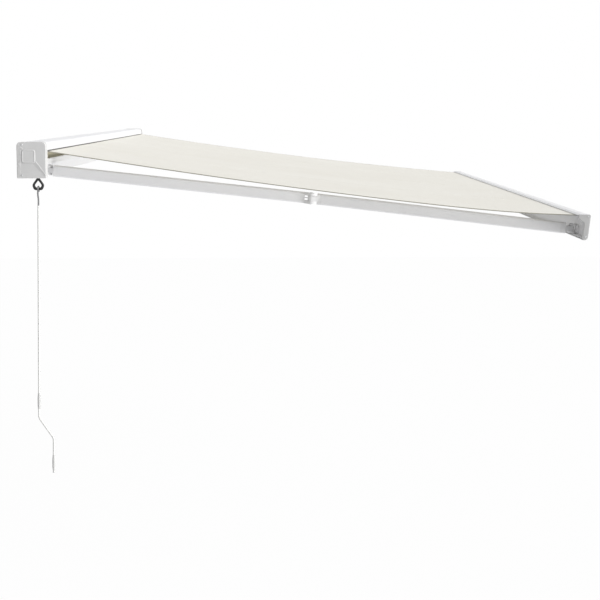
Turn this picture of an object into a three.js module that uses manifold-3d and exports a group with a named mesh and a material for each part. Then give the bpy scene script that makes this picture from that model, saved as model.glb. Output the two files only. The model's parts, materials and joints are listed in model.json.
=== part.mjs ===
// Folding-arm canvas awning, opened, in a case on the wall.
// Millimetres. +X runs along the width to the right-hand end, -Y points out from the wall, +Z is up.
// The origin lies on the wall, in the middle of the centre bracket's back face.
// Inside the awning group, heights are taken from the lower edge of the case's end caps,
// and a section point is written as (distance out from the wall, height).

import * as THREE from 'three';
import { mergeVertices } from 'three/addons/utils/BufferGeometryUtils.js';
import Module from 'manifold-3d';

const wasm = await Module();
wasm.setup();

// Overall sizes
const totalWidth = 4000;
const armSlopeDeg = 6.5;
const openReach = 2860;
const foldedReach = 70;
const armSpare = 1;
const fit = 0.3;

// Case
const capLength = 55;
const capBack = 3;
const capFront = 152;
const capHeight = 188;
const capWall = 3.5;
const capTopRadius = 21;
const capFootRadius = 5;
const capRelief = 3;
const capScrewOut = 30;
const capScrewInset = 16;
const capScrewRadius = 2.1;
const capScrewHeadRadius = 4.2;
const bossHalf = 34;
const bossBelow = 30;
const bossAbove = 38;
const bossRadius = 12;
const bandDepth = 0.8;
const bandInset = 3;
const ribPlaces = [5, 11, 17];
const ribWidth = 3;
const ribHeight = 1;
const ribFoot = 8;
const caseBack = 10;
const hoodFront = 150;
const hoodTop = 186.5;
const hoodSheet = 2.4;
const lipRoom = 0.42;
const caseSeam = 98.5;
const baseSheet = 3;
const baseBottom = 2;
const baseFront = 140;
const lowerFaceTop = 98;
const recessBack = 92;

// Roller
const rollerOut = 64;
const rollRadius = 42;
const rollBuild = 3;
const rollerSheet = 1.6;
const rollerEndGap = 2;
const rollerPlugLength = 45;
const spindleRadius = 8;

// Wall brackets
const bracketWidth = 60;
const bracketInset = 500;
const bracketTop = 162;
const bracketPad = 12;
const bracketTongue = 2.2;
const bracketShelf = 58;
const bracketShelfThickness = 5.7;
const originHeight = 75;
const wallHoleRadius = 5.5;
const wallHoleSpacing = 104;
const clampScrewOut = 46;
const clampScrewRadius = 3;

// Worm gear and its eye
const wormOut = 107;
const wormRadius = 8.5;
const wormTeeth = 22;
const wormTurns = 6;
const wormPitch = 9;
const wormDepth = 2.5;
const wheelHalf = 7;
const toothDepth = 3;
const housingWall = 6;
const eyeShaftRadius = 5.5;
const eyeX = 27;
const eyeWidth = 60;
const eyeTop = -0.6;
const eyeBottom = -64;
const eyeThickness = 11;
const eyeHoleWidth = 34;
const eyeHoleTop = -12;
const eyeHoleBottom = -49;

// Crank
const hookRodRadius = 4.2;
const hookInnerRadius = 10.5;
const hookTwistDeg = 8;
const hookTipDrop = 15;
const crankTubeRadius = 5.5;
const crankTubeBore = 4.5;
const crankTubeTop = -144;
const crankBendTop = -1275;
const crankBendBottom = -1385;
const crankOffset = 77;
const crankBottom = -1569;
const crankBendRadius = 40;
const gripRadius = 8.2;
const gripUpperTop = -1142;
const gripLowerTop = -1476;
const gripLength = 84;
const crankHangDeg = 1;

// Arms
const armInset = 225;
const shoulderOut = 114;
const armWidth = 36;
const armHeight = 60;
const armRoom = 2;
const armSheet = 3;
const armCornerRadius = 9;
const foldGap = 6;
const tongueHalf = 13;
const cheekGap = 1;
const cheekThickness = 11;
const endPivotRadius = 15;
const elbowPivotRadius = 17;
const knuckleFace = 34;
const knuckleLength = 26;
const plugLength = 30;
const pinRadius = 6;
const pinClearance = 0.1;
const pinHeadRadius = 9;
const pinHeadThickness = 2.5;
const springRadius = 11;
const springBore = 7;
const springLength = 410;
const cableRadius = 2;

// Front bar, in the arms' plane: distances past the wrist pin and above it
const barFront = 32;
const barBack = -32;
const barTopFront = 100;
const barTopBack = 93;
const barRoom = 6;
const barLip = 2;
const barSheet = 2.6;
const barCornerRadius = 18;
const barCapThickness = 5;
const grooveU = -27;
const grooveN = 86;
const grooveRadius = 4.6;
const grooveSheet = 2;
const kederRadius = 3.4;

// Cover
const coverInset = 60;
const coverThickness = 1.2;
const coverSag = 27;

const rad = THREE.MathUtils.degToRad;

// Values worked out from the ones above
const slope = rad(armSlopeDeg);
const halfWidth = totalWidth / 2;
const profileEnd = halfWidth - capLength;
const armLength = openReach / 2 + armSpare;
const lateral = foldedReach / 2;
const cheekTop = tongueHalf + cheekGap + cheekThickness;
const shoulderHeight = Math.max(armHeight / 2, cheekTop + fit + pinHeadThickness) + armRoom;
const recessTop = 2 * shoulderHeight;
const rollerHeight = recessTop + baseSheet + rollRadius;
const rollerRadius = rollRadius - rollBuild;
const barBottom = -armHeight / 2 - barRoom;
const elbowRun = Math.sqrt(armLength ** 2 - lateral ** 2);
const foldAngle = Math.asin(openReach / 2 / armLength) - Math.asin(lateral / armLength);
const lineOffset = (armWidth + foldGap) / 2;
const endOffset = lateral - lineOffset;
const wristOut = shoulderOut + openReach * Math.cos(slope);
const wristHeight = shoulderHeight - openReach * Math.sin(slope);
const grooveOut = wristOut + grooveU * Math.cos(slope) + grooveN * Math.sin(slope);
const grooveHeight = wristHeight + grooveN * Math.cos(slope) - grooveU * Math.sin(slope);

// The cover leaves the roll at its tangent and ends at the rod in the front bar's groove.
// It hangs a little below the straight line between them, and just clears the hood's lip.
const coverLift = coverThickness / 2 + fit;
const coverFrom = new THREE.Vector2(
  rollerOut + rollRadius * Math.sin(slope),
  rollerHeight + rollRadius * Math.cos(slope) + coverLift,
);
const coverTo = new THREE.Vector2(
  grooveOut - (kederRadius + coverLift) * Math.cos(slope),
  grooveHeight + (kederRadius + coverLift) * Math.sin(slope),
);
const coverPoint = (share) => {
  const middle = coverFrom.clone().lerp(coverTo, share);
  middle.y -= 4 * coverSag * share * (1 - share);
  return middle;
};
const lipShare = (hoodFront - hoodSheet - coverFrom.x) / (coverTo.x - coverFrom.x);
const lipHeight = coverPoint(lipShare).y + coverThickness / 2 + lipRoom;

// Colours
const whitePaint = { color: 0xe9eaea, roughness: 0.45, metalness: 0.0 };
const castPaint = { color: 0xd2d3d3, roughness: 0.5, metalness: 0.0 };
const steel = { color: 0xa5a7a9, roughness: 0.35, metalness: 0.9 };
const blackPlastic = { color: 0x1d1d1f, roughness: 0.5, metalness: 0.0 };
const greyPlastic = { color: 0xcfd0d0, roughness: 0.55, metalness: 0.0 };
const cloth = { color: 0xe8e4d8, roughness: 0.9, metalness: 0.0 };

// Solids and meshes

function solidOf(geometry, matrix = null) {
  const clean = geometry.clone();
  clean.deleteAttribute('normal');
  clean.deleteAttribute('uv');
  const merged = mergeVertices(clean, 1e-4);
  if (matrix) merged.applyMatrix4(matrix);
  const vertProperties = new Float32Array(merged.attributes.position.array);
  const triVerts = new Uint32Array(merged.index.array);
  return new wasm.Manifold(new wasm.Mesh({ numProp: 3, vertProperties, triVerts }));
}

function geometryOf(solid) {
  const mesh = solid.getMesh();
  const geometry = new THREE.BufferGeometry();
  const positions = new Float32Array(mesh.vertProperties);
  const corners = new Uint32Array(mesh.triVerts);
  geometry.setAttribute('position', new THREE.BufferAttribute(positions, 3));
  geometry.setIndex(new THREE.BufferAttribute(corners, 1));
  geometry.computeVertexNormals();
  return geometry;
}

function joined(...geometries) {
  return geometryOf(geometries.map((geometry) => solidOf(geometry)).reduce((a, b) => a.add(b)));
}

function cut(geometry, ...tools) {
  const solid = tools.reduce((left, tool) => left.subtract(solidOf(tool)), solidOf(geometry));
  return geometryOf(solid);
}

function common(geometry, other) {
  return geometryOf(solidOf(geometry).intersect(solidOf(other)));
}

function place(parent, name, geometry, finish) {
  const mesh = new THREE.Mesh(geometry, new THREE.MeshStandardMaterial(finish));
  mesh.name = name;
  parent.add(mesh);
  return mesh;
}

// Section outlines

const point = (x, y) => new THREE.Vector2(x, y);

// A case point: distance out from the wall, height
const at = (out, height) => point(-out, height);

// Rounds the inner corners of a run of points; radii has one value for each corner
function rounded(points, radii, closed = false, segments = 5) {
  const result = [];
  const count = points.length;
  points.forEach((corner, index) => {
    const radius = radii[index] ?? 0;
    const isEnd = !closed && (index === 0 || index === count - 1);
    if (isEnd || radius === 0) {
      result.push(corner.clone());
      return;
    }
    const before = points[(index + count - 1) % count].clone().sub(corner).normalize();
    const after = points[(index + 1) % count].clone().sub(corner).normalize();
    const half = Math.acos(THREE.MathUtils.clamp(before.dot(after), -1, 1)) / 2;
    const reach = radius / Math.tan(half);
    const inward = before.clone().add(after).normalize();
    const centre = corner.clone().addScaledVector(inward, radius / Math.sin(half));
    const start = corner.clone().addScaledVector(before, reach).sub(centre);
    const end = corner.clone().addScaledVector(after, reach).sub(centre);
    const turn = Math.atan2(start.cross(end), start.dot(end));
    for (let step = 0; step <= segments; step += 1) {
      const angle = (turn * step) / segments;
      result.push(start.clone().rotateAround(point(0, 0), angle).add(centre));
    }
  });
  return result;
}

// A sheet of even thickness that follows a run of points
function sheetOutline(middle, thickness) {
  const left = [];
  const right = [];
  middle.forEach((here, index) => {
    const before = middle[Math.max(index - 1, 0)];
    const after = middle[Math.min(index + 1, middle.length - 1)];
    const inward = here.clone().sub(before);
    const onward = after.clone().sub(here);
    if (index === 0) inward.copy(onward);
    if (index === middle.length - 1) onward.copy(inward);
    inward.normalize();
    onward.normalize();
    const normal = point(-inward.y - onward.y, inward.x + onward.x).normalize();
    const side = normal.multiplyScalar(thickness / 2 / normal.dot(point(-inward.y, inward.x)));
    left.push(here.clone().add(side));
    right.push(here.clone().sub(side));
  });
  return new THREE.Shape([...left, ...right.reverse()]);
}

function circlePath(x, y, radius, sides = 24) {
  const points = [];
  for (let index = 0; index < sides; index += 1) {
    const angle = (2 * Math.PI * index) / sides;
    points.push(point(x + radius * Math.cos(angle), y + radius * Math.sin(angle)));
  }
  return points;
}

const circle = (x, y, radius, sides = 24) => new THREE.Shape(circlePath(x, y, radius, sides));

function ring(x, y, outer, inner, sides = 24) {
  const shape = circle(x, y, outer, sides);
  shape.holes.push(new THREE.Path(circlePath(x, y, inner, sides)));
  return shape;
}

function roundedBox(x0, x1, y0, y1, radius, segments = 4) {
  const corners = [point(x0, y0), point(x1, y0), point(x1, y1), point(x0, y1)];
  return rounded(corners, [radius, radius, radius, radius], true, segments);
}

// The outline round a disc and a face some way off, as a casting's web has
function webOutline(centre, radius, faceX, faceLow, faceHigh) {
  const disc = circlePath(centre.x, centre.y, radius, 20);
  const points = [...disc, point(faceX, faceLow), point(faceX, faceHigh)];
  points.sort((a, b) => a.x - b.x || a.y - b.y);
  const chain = (list) => {
    const hull = [];
    list.forEach((next) => {
      while (hull.length > 1) {
        const a = hull[hull.length - 2];
        const b = hull[hull.length - 1];
        if ((b.x - a.x) * (next.y - a.y) - (b.y - a.y) * (next.x - a.x) > 1e-6) break;
        hull.pop();
      }
      hull.push(next);
    });
    return hull.slice(0, -1);
  };
  return new THREE.Shape([...chain(points), ...chain([...points].reverse())]);
}

// Extrusions

// A section drawn as (y, z), run along X
function alongX(shape, x0, x1) {
  const geometry = new THREE.ExtrudeGeometry(shape, { depth: x1 - x0, bevelEnabled: false });
  const axes = new THREE.Matrix4().makeBasis(
    new THREE.Vector3(0, 1, 0),
    new THREE.Vector3(0, 0, 1),
    new THREE.Vector3(1, 0, 0),
  );
  return geometry.applyMatrix4(axes).translate(x0, 0, 0);
}

// A plan outline drawn as (x, y), run along Z
function alongZ(shape, z0, z1) {
  const geometry = new THREE.ExtrudeGeometry(shape, { depth: z1 - z0, bevelEnabled: false });
  return geometry.translate(0, 0, z0);
}

function boxFrom(x0, x1, y0, y1, z0, z1) {
  const geometry = new THREE.BoxGeometry(x1 - x0, y1 - y0, z1 - z0);
  return geometry.translate((x0 + x1) / 2, (y0 + y1) / 2, (z0 + z1) / 2);
}

// A round bar or tube that follows a run of points
function sweep(points, outer, inner = 0, sides = 12) {
  const rings = [];
  const tangents = points.map((here, index) => {
    const before = points[Math.max(index - 1, 0)];
    const after = points[Math.min(index + 1, points.length - 1)];
    return after.clone().sub(before).normalize();
  });
  const side = new THREE.Vector3(0, 1, 0);
  if (Math.abs(tangents[0].y) > 0.9) side.set(1, 0, 0);
  points.forEach((here, index) => {
    const tangent = tangents[index];
    side.addScaledVector(tangent, -side.dot(tangent)).normalize();
    const other = new THREE.Vector3().crossVectors(tangent, side);
    const loop = (radius) => Array.from({ length: sides }, (_, step) => {
      const angle = (2 * Math.PI * step) / sides;
      return here.clone()
        .addScaledVector(side, radius * Math.cos(angle))
        .addScaledVector(other, radius * Math.sin(angle));
    });
    rings.push({ outer: loop(outer), inner: inner > 0 ? loop(inner) : null, centre: here });
  });
  const positions = [];
  const triangle = (...corners) => corners.forEach((corner) => positions.push(...corner));
  const quad = (a, b, c, d) => {
    triangle(a, b, c);
    triangle(a, c, d);
  };
  for (let step = 0; step < sides; step += 1) {
    const next = (step + 1) % sides;
    for (let index = 0; index + 1 < rings.length; index += 1) {
      const here = rings[index];
      const there = rings[index + 1];
      quad(here.outer[step], here.outer[next], there.outer[next], there.outer[step]);
      if (inner > 0) quad(here.inner[next], here.inner[step], there.inner[step], there.inner[next]);
    }
    const first = rings[0];
    const last = rings[rings.length - 1];
    if (inner > 0) {
      quad(first.outer[next], first.outer[step], first.inner[step], first.inner[next]);
      quad(last.outer[step], last.outer[next], last.inner[next], last.inner[step]);
    } else {
      triangle(first.centre, first.outer[next], first.outer[step]);
      triangle(last.centre, last.outer[step], last.outer[next]);
    }
  }
  const geometry = new THREE.BufferGeometry();
  geometry.setAttribute('position', new THREE.Float32BufferAttribute(positions, 3));
  return mergeVertices(geometry, 1e-4);
}

const straight = (from, to, outer, inner = 0, sides = 16) => sweep([from, to], outer, inner, sides);
const spot = (x, y, z) => new THREE.Vector3(x, y, z);

// Case and what it holds

const awning = new THREE.Group();
awning.position.z = -originHeight;

function caseProfiles() {
  const backX = caseBack + hoodSheet / 2;
  const frontX = hoodFront - hoodSheet / 2;
  const topY = hoodTop - hoodSheet / 2;
  const hoodLine = rounded([
    at(frontX, lipHeight),
    at(frontX, topY),
    at(backX, topY),
    at(backX, caseSeam + fit),
  ], [0, capTopRadius, capTopRadius / 2, 0]);
  const hood = alongX(sheetOutline(hoodLine, hoodSheet), -profileEnd + fit, profileEnd - fit);
  const ribLine = [
    at(caseBack + 1, bracketTop + 6),
    at(caseBack - 4, bracketTop + 6),
    at(caseBack - 4, bracketTop - 8),
  ];
  const rib = alongX(sheetOutline(ribLine, 2), -profileEnd + fit, profileEnd - fit);
  place(awning, 'cassette_hood', joined(hood, rib), whitePaint);

  const half = baseSheet / 2;
  const baseLine = rounded([
    at(baseFront - 9, lowerFaceTop - 5),
    at(baseFront - 5, lowerFaceTop - half),
    at(baseFront - half, lowerFaceTop - half),
    at(baseFront - half, recessTop + half),
    at(recessBack - half, recessTop + half),
    at(recessBack - half, baseBottom + half),
    at(caseBack + half, baseBottom + half),
    at(caseBack + half, caseSeam),
  ], [0, 0, 3, 4, 4, 3, 3, 0], false, 3);
  const base = alongX(sheetOutline(baseLine, baseSheet), -profileEnd + fit, profileEnd - fit);
  place(awning, 'cassette_base', base, whitePaint);
}

// The raised figures on a cap's face: the boss over the roller, the band that runs down from it
// to the front, and the upright ribs by the wall
function capFigures(across) {
  const boss = rounded([
    at(rollerOut - bossHalf, rollerHeight - bossBelow),
    at(rollerOut + bossHalf, rollerHeight - bossBelow),
    at(rollerOut + bossHalf, rollerHeight + bossAbove),
    at(rollerOut - bossHalf, rollerHeight + bossAbove),
  ], [bossRadius, bossRadius, bossRadius, bossRadius], true);
  const bandTop = rollerHeight - bossBelow;
  const band = [
    at(rollerOut + 14, bandTop + 6),
    at(rollerOut + 30, bandTop + 20),
    at(capFront - bandInset, 24),
    at(capFront - bandInset, 6),
  ];
  const ribs = ribPlaces.map((place) => [
    at(capBack + place, ribFoot),
    at(capBack + place + ribWidth, ribFoot),
    at(capBack + place + ribWidth, capHeight - capTopRadius),
    at(capBack + place, capHeight - capTopRadius),
  ]);
  const root = capRelief + 1;
  return [
    alongX(new THREE.Shape(boss), ...across(0, root)),
    alongX(new THREE.Shape(band), ...across(bandDepth, root)),
    ...ribs.map((rib) => alongX(new THREE.Shape(rib), ...across(capRelief - ribHeight, root))),
  ];
}

// side is -1 for the left cap and 1 for the right one; x is measured in from the cap's outer face
function endCap(side) {
  const word = side < 0 ? 'left' : 'right';
  const across = (a, b) => (side < 0 ? [-halfWidth + a, -halfWidth + b] : [halfWidth - b, halfWidth - a]);
  const outline = (grow) => new THREE.Shape(rounded([
    at(capFront + grow, -grow),
    at(capFront + grow, capHeight + grow),
    at(capBack - grow, capHeight + grow),
    at(capBack - grow, -grow),
  ], [capFootRadius + grow, capTopRadius + grow, capTopRadius + grow, capFootRadius + grow], true));
  const skin = capRelief;
  const body = alongX(outline(0), ...across(skin, capLength));
  const inside = alongX(outline(-capWall), ...across(skin + capWall, capLength - capWall));

  // The opening towards the middle, kept inside the hood's and the base's section
  const mouthLine = [
    at(caseBack + 3, baseBottom + 6),
    at(recessBack - 4, baseBottom + 6),
    at(recessBack - 4, recessTop + 4),
    at(baseFront - 4, recessTop + 4),
    at(baseFront - 4, hoodTop - 22),
    at(caseBack + 22, hoodTop - 5),
    at(caseBack + 3, hoodTop - 12),
  ];
  const mouth = alongX(new THREE.Shape(mouthLine), ...across(capLength - capWall - 1, capLength + 1));
  let cap = cut(joined(body, ...capFigures(across)), inside, mouth);
  if (side < 0) {
    const low = spot(-halfWidth + eyeX, -wormOut, -2);
    const high = spot(-halfWidth + eyeX, -wormOut, capWall + 2);
    cap = cut(cap, straight(low, high, eyeShaftRadius + 1.5));
  }
  [capHeight - capScrewInset, capScrewInset].forEach((height, index) => {
    const inward = (depth) => spot(side * (halfWidth - depth), -capScrewOut, height);
    cap = cut(cap, straight(inward(skin - 2), inward(skin + capWall + 2), capScrewRadius + 0.5));
    const head = straight(inward(skin - 2.6), inward(skin - fit), capScrewHeadRadius);
    const shank = straight(inward(skin - 1), inward(skin + 16), capScrewRadius);
    place(awning, `cap_screw_${word}_${index + 1}`, joined(head, shank), steel);
  });
  place(awning, `end_cap_${word}`, cap, castPaint);
}

function wallBracket(name, x) {
  const face = caseBack - fit;
  const section = new THREE.Shape([
    at(0, baseBottom - fit - bracketShelfThickness),
    at(bracketShelf, baseBottom - fit - bracketShelfThickness),
    at(bracketShelf, baseBottom - fit),
    at(face, baseBottom - fit),
    at(face, bracketTop),
    at(face - bracketTongue, bracketTop),
    at(face - bracketTongue, bracketTop - bracketPad),
    at(0, bracketTop - bracketPad),
  ]);
  const body = alongX(section, x - bracketWidth / 2, x + bracketWidth / 2);
  const holes = [-1, 1].map((step) => straight(
    spot(x, 1, originHeight + (step * wallHoleSpacing) / 2),
    spot(x, -face - 1, originHeight + (step * wallHoleSpacing) / 2),
    wallHoleRadius,
  ));
  const clampAt = (height) => spot(x, -clampScrewOut, height);
  const screwHole = straight(clampAt(-10), clampAt(10), clampScrewRadius + fit);
  place(awning, `wall_bracket_${name}`, cut(body, ...holes, screwHole), castPaint);

  const under = baseBottom - fit - bracketShelfThickness - fit;
  const head = straight(clampAt(under - 4), clampAt(under), 5.5, 0, 6);
  const shank = straight(clampAt(under - 1), clampAt(baseBottom - fit), clampScrewRadius);
  place(awning, `bracket_screw_${name}`, joined(head, shank), steel);
}

function roller() {
  const tubeEnd = profileEnd - rollerEndGap;
  const axis = (x) => spot(x, -rollerOut, rollerHeight);
  const centre = [-rollerOut, rollerHeight];
  const tube = alongX(ring(...centre, rollerRadius, rollerRadius - rollerSheet, 32), -tubeEnd, tubeEnd);
  place(awning, 'roller_tube', tube, steel);
  const rollEnd = halfWidth - coverInset;
  const roll = alongX(ring(...centre, rollRadius, rollerRadius + fit, 32), -rollEnd, rollEnd);
  place(awning, 'fabric_roll', roll, cloth);

  const bore = rollerRadius - rollerSheet - fit;
  [-1, 1].forEach((side) => {
    const plug = straight(axis(side * (tubeEnd - rollerPlugLength)), axis(side * tubeEnd), bore, 0, 32);
    const spindleTip = halfWidth - capRelief - capWall - (side < 0 ? 12 : 6);
    const spindle = straight(axis(side * (tubeEnd - 5)), axis(side * spindleTip), spindleRadius);
    place(awning, `roller_plug_${side < 0 ? 'left' : 'right'}`, joined(plug, spindle), greyPlastic);
  });
}

// The worm wheel on the roller's spindle; wheelTip is its outer radius
function wormWheel(shaftX, wheelTip) {
  const teeth = [];
  const root = wheelTip - toothDepth;
  const flank = [[-0.3, root], [-0.14, wheelTip], [0.14, wheelTip], [0.3, root]];
  for (let tooth = 0; tooth < wormTeeth; tooth += 1) {
    flank.forEach(([share, radius]) => {
      const angle = (2 * Math.PI * (tooth + share)) / wormTeeth;
      const side = point(Math.cos(angle), Math.sin(angle)).multiplyScalar(radius);
      teeth.push(side.add(at(rollerOut, rollerHeight)));
    });
  }
  const wheelShape = new THREE.Shape(teeth);
  wheelShape.holes.push(new THREE.Path(circlePath(-rollerOut, rollerHeight, spindleRadius + fit)));
  const wheel = alongX(wheelShape, shaftX - wheelHalf, shaftX + wheelHalf);
  place(awning, 'worm_wheel', wheel, greyPlastic);
}

// The housing stands round the wheel and the worm, and carries the roller's spindle
function gearHousing(shaftX, wheelTip, low, wormLow) {
  const high = 2 * rollerHeight - wormLow + 14;
  const back = -rollerOut + wheelTip + housingWall;
  const hull = boxFrom(shaftX - 15, shaftX + 18, -wormOut - 15, back, low, high);
  const axis = (x) => spot(shaftX + x, -rollerOut, rollerHeight);
  const shaft = (height) => spot(shaftX, -wormOut, height);
  const wheelRoom = straight(axis(-wheelHalf - 4), axis(wheelHalf + 4), wheelTip + 2, 0, 32);
  const wormRoom = straight(shaft(wormLow - 2), shaft(2 * rollerHeight - wormLow + 2), wormRadius + 1.5);
  const spindleRoom = straight(axis(-20), axis(22), spindleRadius + fit);
  const shaftRoom = straight(shaft(low - 2), shaft(wormLow + 10), eyeShaftRadius + fit);
  place(awning, 'gear_housing', cut(hull, wheelRoom, wormRoom, spindleRoom, shaftRoom), greyPlastic);
}

// The right-hand bearing, for the roller's plain end
function idlerBearing() {
  const plateX = profileEnd + capWall + fit;
  const y = -rollerOut;
  const plate = boxFrom(plateX, plateX + 12, y - 36, y + 36, rollerHeight - 50, rollerHeight + 50);
  const axis = (x) => spot(plateX + x, y, rollerHeight);
  place(awning, 'idler_bearing', cut(plate, straight(axis(-2), axis(14), spindleRadius + fit)), greyPlastic);
}

// The eye's ring and its key-shaped hole, drawn as (y, z) about the shaft
function eyeRing() {
  const arc = (radius, middle, from, sweepDeg, steps) => Array.from({ length: steps + 1 }, (_, step) => {
    const angle = rad(from + (sweepDeg * step) / steps);
    return point(radius * Math.cos(angle), middle + radius * Math.sin(angle));
  });
  const neckHalf = 7;
  const eyeMiddle = eyeBottom + eyeWidth / 2;
  const round = arc(eyeWidth / 2, eyeMiddle, 150, 240, 22);
  const outer = [point(-neckHalf, eyeTop), ...round, point(neckHalf, eyeTop)];
  const holeRadius = eyeHoleWidth / 2;
  const hole = [point(0, eyeHoleTop), ...arc(holeRadius, eyeHoleBottom + holeRadius, 160, 220, 14)];
  const bevel = 3.6;
  const inset = (points, amount) => points.map((corner) => {
    const away = corner.clone().sub(point(0, eyeMiddle));
    return away.multiplyScalar(1 - amount / away.length()).add(point(0, eyeMiddle));
  });
  const layer = (amount, thickness) => {
    const shape = new THREE.Shape(inset(outer, amount));
    shape.holes.push(new THREE.Path(inset(hole, -amount)));
    return alongX(shape, -thickness / 2, thickness / 2);
  };
  return joined(
    layer(0, eyeThickness - 2 * bevel),
    layer(bevel * 0.3, eyeThickness - bevel * 0.8),
    layer(bevel, eyeThickness),
  );
}

function wormGear() {
  const shaftX = -halfWidth + eyeX;
  const wheelTip = wormOut - rollerOut - wormRadius - fit;
  const housingLow = 34;
  const wormLow = rollerHeight - (wormTurns * wormPitch) / 2 - 2;
  wormWheel(shaftX, wheelTip);
  gearHousing(shaftX, wheelTip, housingLow, wormLow);
  idlerBearing();

  // The worm's threads as rings on its shaft
  const core = wormRadius - wormDepth;
  const threads = [[0, wormLow + 0.5], [eyeShaftRadius, wormLow + 0.5]];
  for (let turn = 0; turn < wormTurns; turn += 1) {
    const foot = wormLow + 2 + turn * wormPitch;
    threads.push([core, foot], [wormRadius, foot + 2.5], [wormRadius, foot + 4.5], [core, foot + 7]);
  }
  threads.push([0, wormLow + wormTurns * wormPitch + 3]);
  const worm = new THREE.LatheGeometry(threads.map(([radius, height]) => point(radius, height)), 16);
  worm.rotateX(Math.PI / 2).translate(shaftX, -wormOut, 0);
  const shaft = straight(spot(shaftX, -wormOut, -6), spot(shaftX, -wormOut, wormLow + 2), eyeShaftRadius);
  const eye = eyeRing().translate(shaftX, -wormOut, 0);
  place(awning, 'gear_eye', joined(eye, shaft, worm), blackPlastic);
}

// The crank hangs from the eye. Its offset lower end makes it lean a little towards the wall,
// so it is drawn upright about the middle of the hook, and its group is then turned.
function crank() {
  const shaftX = -halfWidth + eyeX;
  const twist = rad(hookTwistDeg);
  const reach = hookInnerRadius + hookRodRadius;
  const hookHeight = eyeHoleBottom + 0.6 - hookInnerRadius;
  const hanging = new THREE.Group();
  hanging.position.set(shaftX, -wormOut, hookHeight);
  hanging.rotation.x = rad(crankHangDeg);
  awning.add(hanging);

  const seen = (along, height) => spot(along * Math.cos(twist), -along * Math.sin(twist), height);
  const points = [seen(reach, -hookTipDrop)];
  for (let step = 0; step <= 8; step += 1) {
    const angle = (Math.PI * step) / 8;
    points.push(seen(reach * Math.cos(angle), reach * Math.sin(angle)));
  }
  [[1, -18], [0.94, -26], [0.7, -35], [0.3, -44], [0.06, -53], [0, -61]].forEach(([share, drop]) => {
    points.push(seen(-reach * share, drop));
  });
  points.push(spot(0, 0, crankTubeTop - 28 - hookHeight));
  place(hanging, 'crank_hook', sweep(points, hookRodRadius, 0, 10), steel);

  const path = rounded([
    point(0, crankTubeTop),
    point(0, crankBendTop),
    point(crankOffset, crankBendBottom),
    point(crankOffset, crankBottom),
  ], [0, crankBendRadius, crankBendRadius, 0]);
  const bend = path.map((corner) => spot(0, -corner.x, corner.y - hookHeight));
  place(hanging, 'crank_tube', sweep(bend, crankTubeRadius, crankTubeBore, 12), whitePaint);

  const grip = (name, top, out) => {
    const bore = crankTubeRadius + fit;
    const profile = [
      [bore, 0], [gripRadius - 1.6, 0], [gripRadius, 4], [gripRadius, gripLength - 4],
      [gripRadius - 1.6, gripLength], [bore, gripLength], [bore, 0],
    ];
    const geometry = new THREE.LatheGeometry(profile.map(([radius, height]) => point(radius, height)), 20);
    geometry.rotateX(Math.PI / 2).translate(0, -out, top - gripLength - hookHeight);
    place(hanging, name, mergeVertices(geometry, 1e-4), greyPlastic);
  };
  grip('crank_grip_upper', gripUpperTop, 0);
  grip('crank_grip_lower', gripLowerTop, crankOffset);

  const under = (height) => spot(0, -crankOffset, height - hookHeight);
  place(hanging, 'crank_end_plug', joined(
    straight(under(crankBottom - 3), under(crankBottom - fit), crankTubeRadius + 1),
    straight(under(crankBottom - 1), under(crankBottom + 14), crankTubeBore - fit),
  ), greyPlastic);
}

// Arms. Each arm's group stands at its shoulder pin in the arms' plane. Its parts are drawn folded,
// reaching towards the middle of the awning, and the groups are then turned open.

function armBox(x0, x1, v, wide, high, radius) {
  return alongX(new THREE.Shape(roundedBox(v - wide / 2, v + wide / 2, -high / 2, high / 2, radius)), x0, x1);
}

// reach is the sign of X towards the middle; run(a, b) gives the two ends in rising order
const run = (reach, a, b) => (reach > 0 ? [a, b] : [-b, -a]);

function knuckle(reach, pivot, radius, faceX, lineV, levels) {
  const innerHigh = armHeight - 2 * armSheet - 2 * fit;
  const innerWide = armWidth - 2 * armSheet - 2 * fit;
  const away = Math.sign(faceX - pivot.x);
  const blockEnd = faceX + away * knuckleLength;
  const plugEnd = blockEnd + away * plugLength;
  const sorted = (a, b) => (a < b ? [a, b] : [b, a]);
  const parts = [
    armBox(...sorted(faceX * reach, (blockEnd - away * fit) * reach), lineV, armWidth, armHeight,
      armCornerRadius),
    armBox(...sorted((blockEnd - away) * reach, plugEnd * reach), lineV, innerWide, innerHigh,
      armCornerRadius - armSheet),
  ];
  levels.forEach(([low, high]) => {
    const centre = point(pivot.x * reach, pivot.y);
    const edge = armWidth / 2 - 0.5;
    const web = webOutline(centre, radius, (faceX + away) * reach, lineV - edge, lineV + edge);
    parts.push(alongZ(web, low, high));
  });
  const along = (z) => spot(pivot.x * reach, pivot.y, z);
  const bore = straight(along(-armHeight), along(armHeight), pinRadius + pinClearance, 0, 24);
  return cut(joined(...parts), bore);
}

function pin(halfLength) {
  const along = (z) => spot(0, 0, z);
  const seat = halfLength + fit;
  return joined(
    straight(along(-halfLength), along(halfLength + 1), pinRadius, 0, 24),
    straight(along(seat), along(seat + pinHeadThickness), pinHeadRadius, 0, 24),
  );
}

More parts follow.
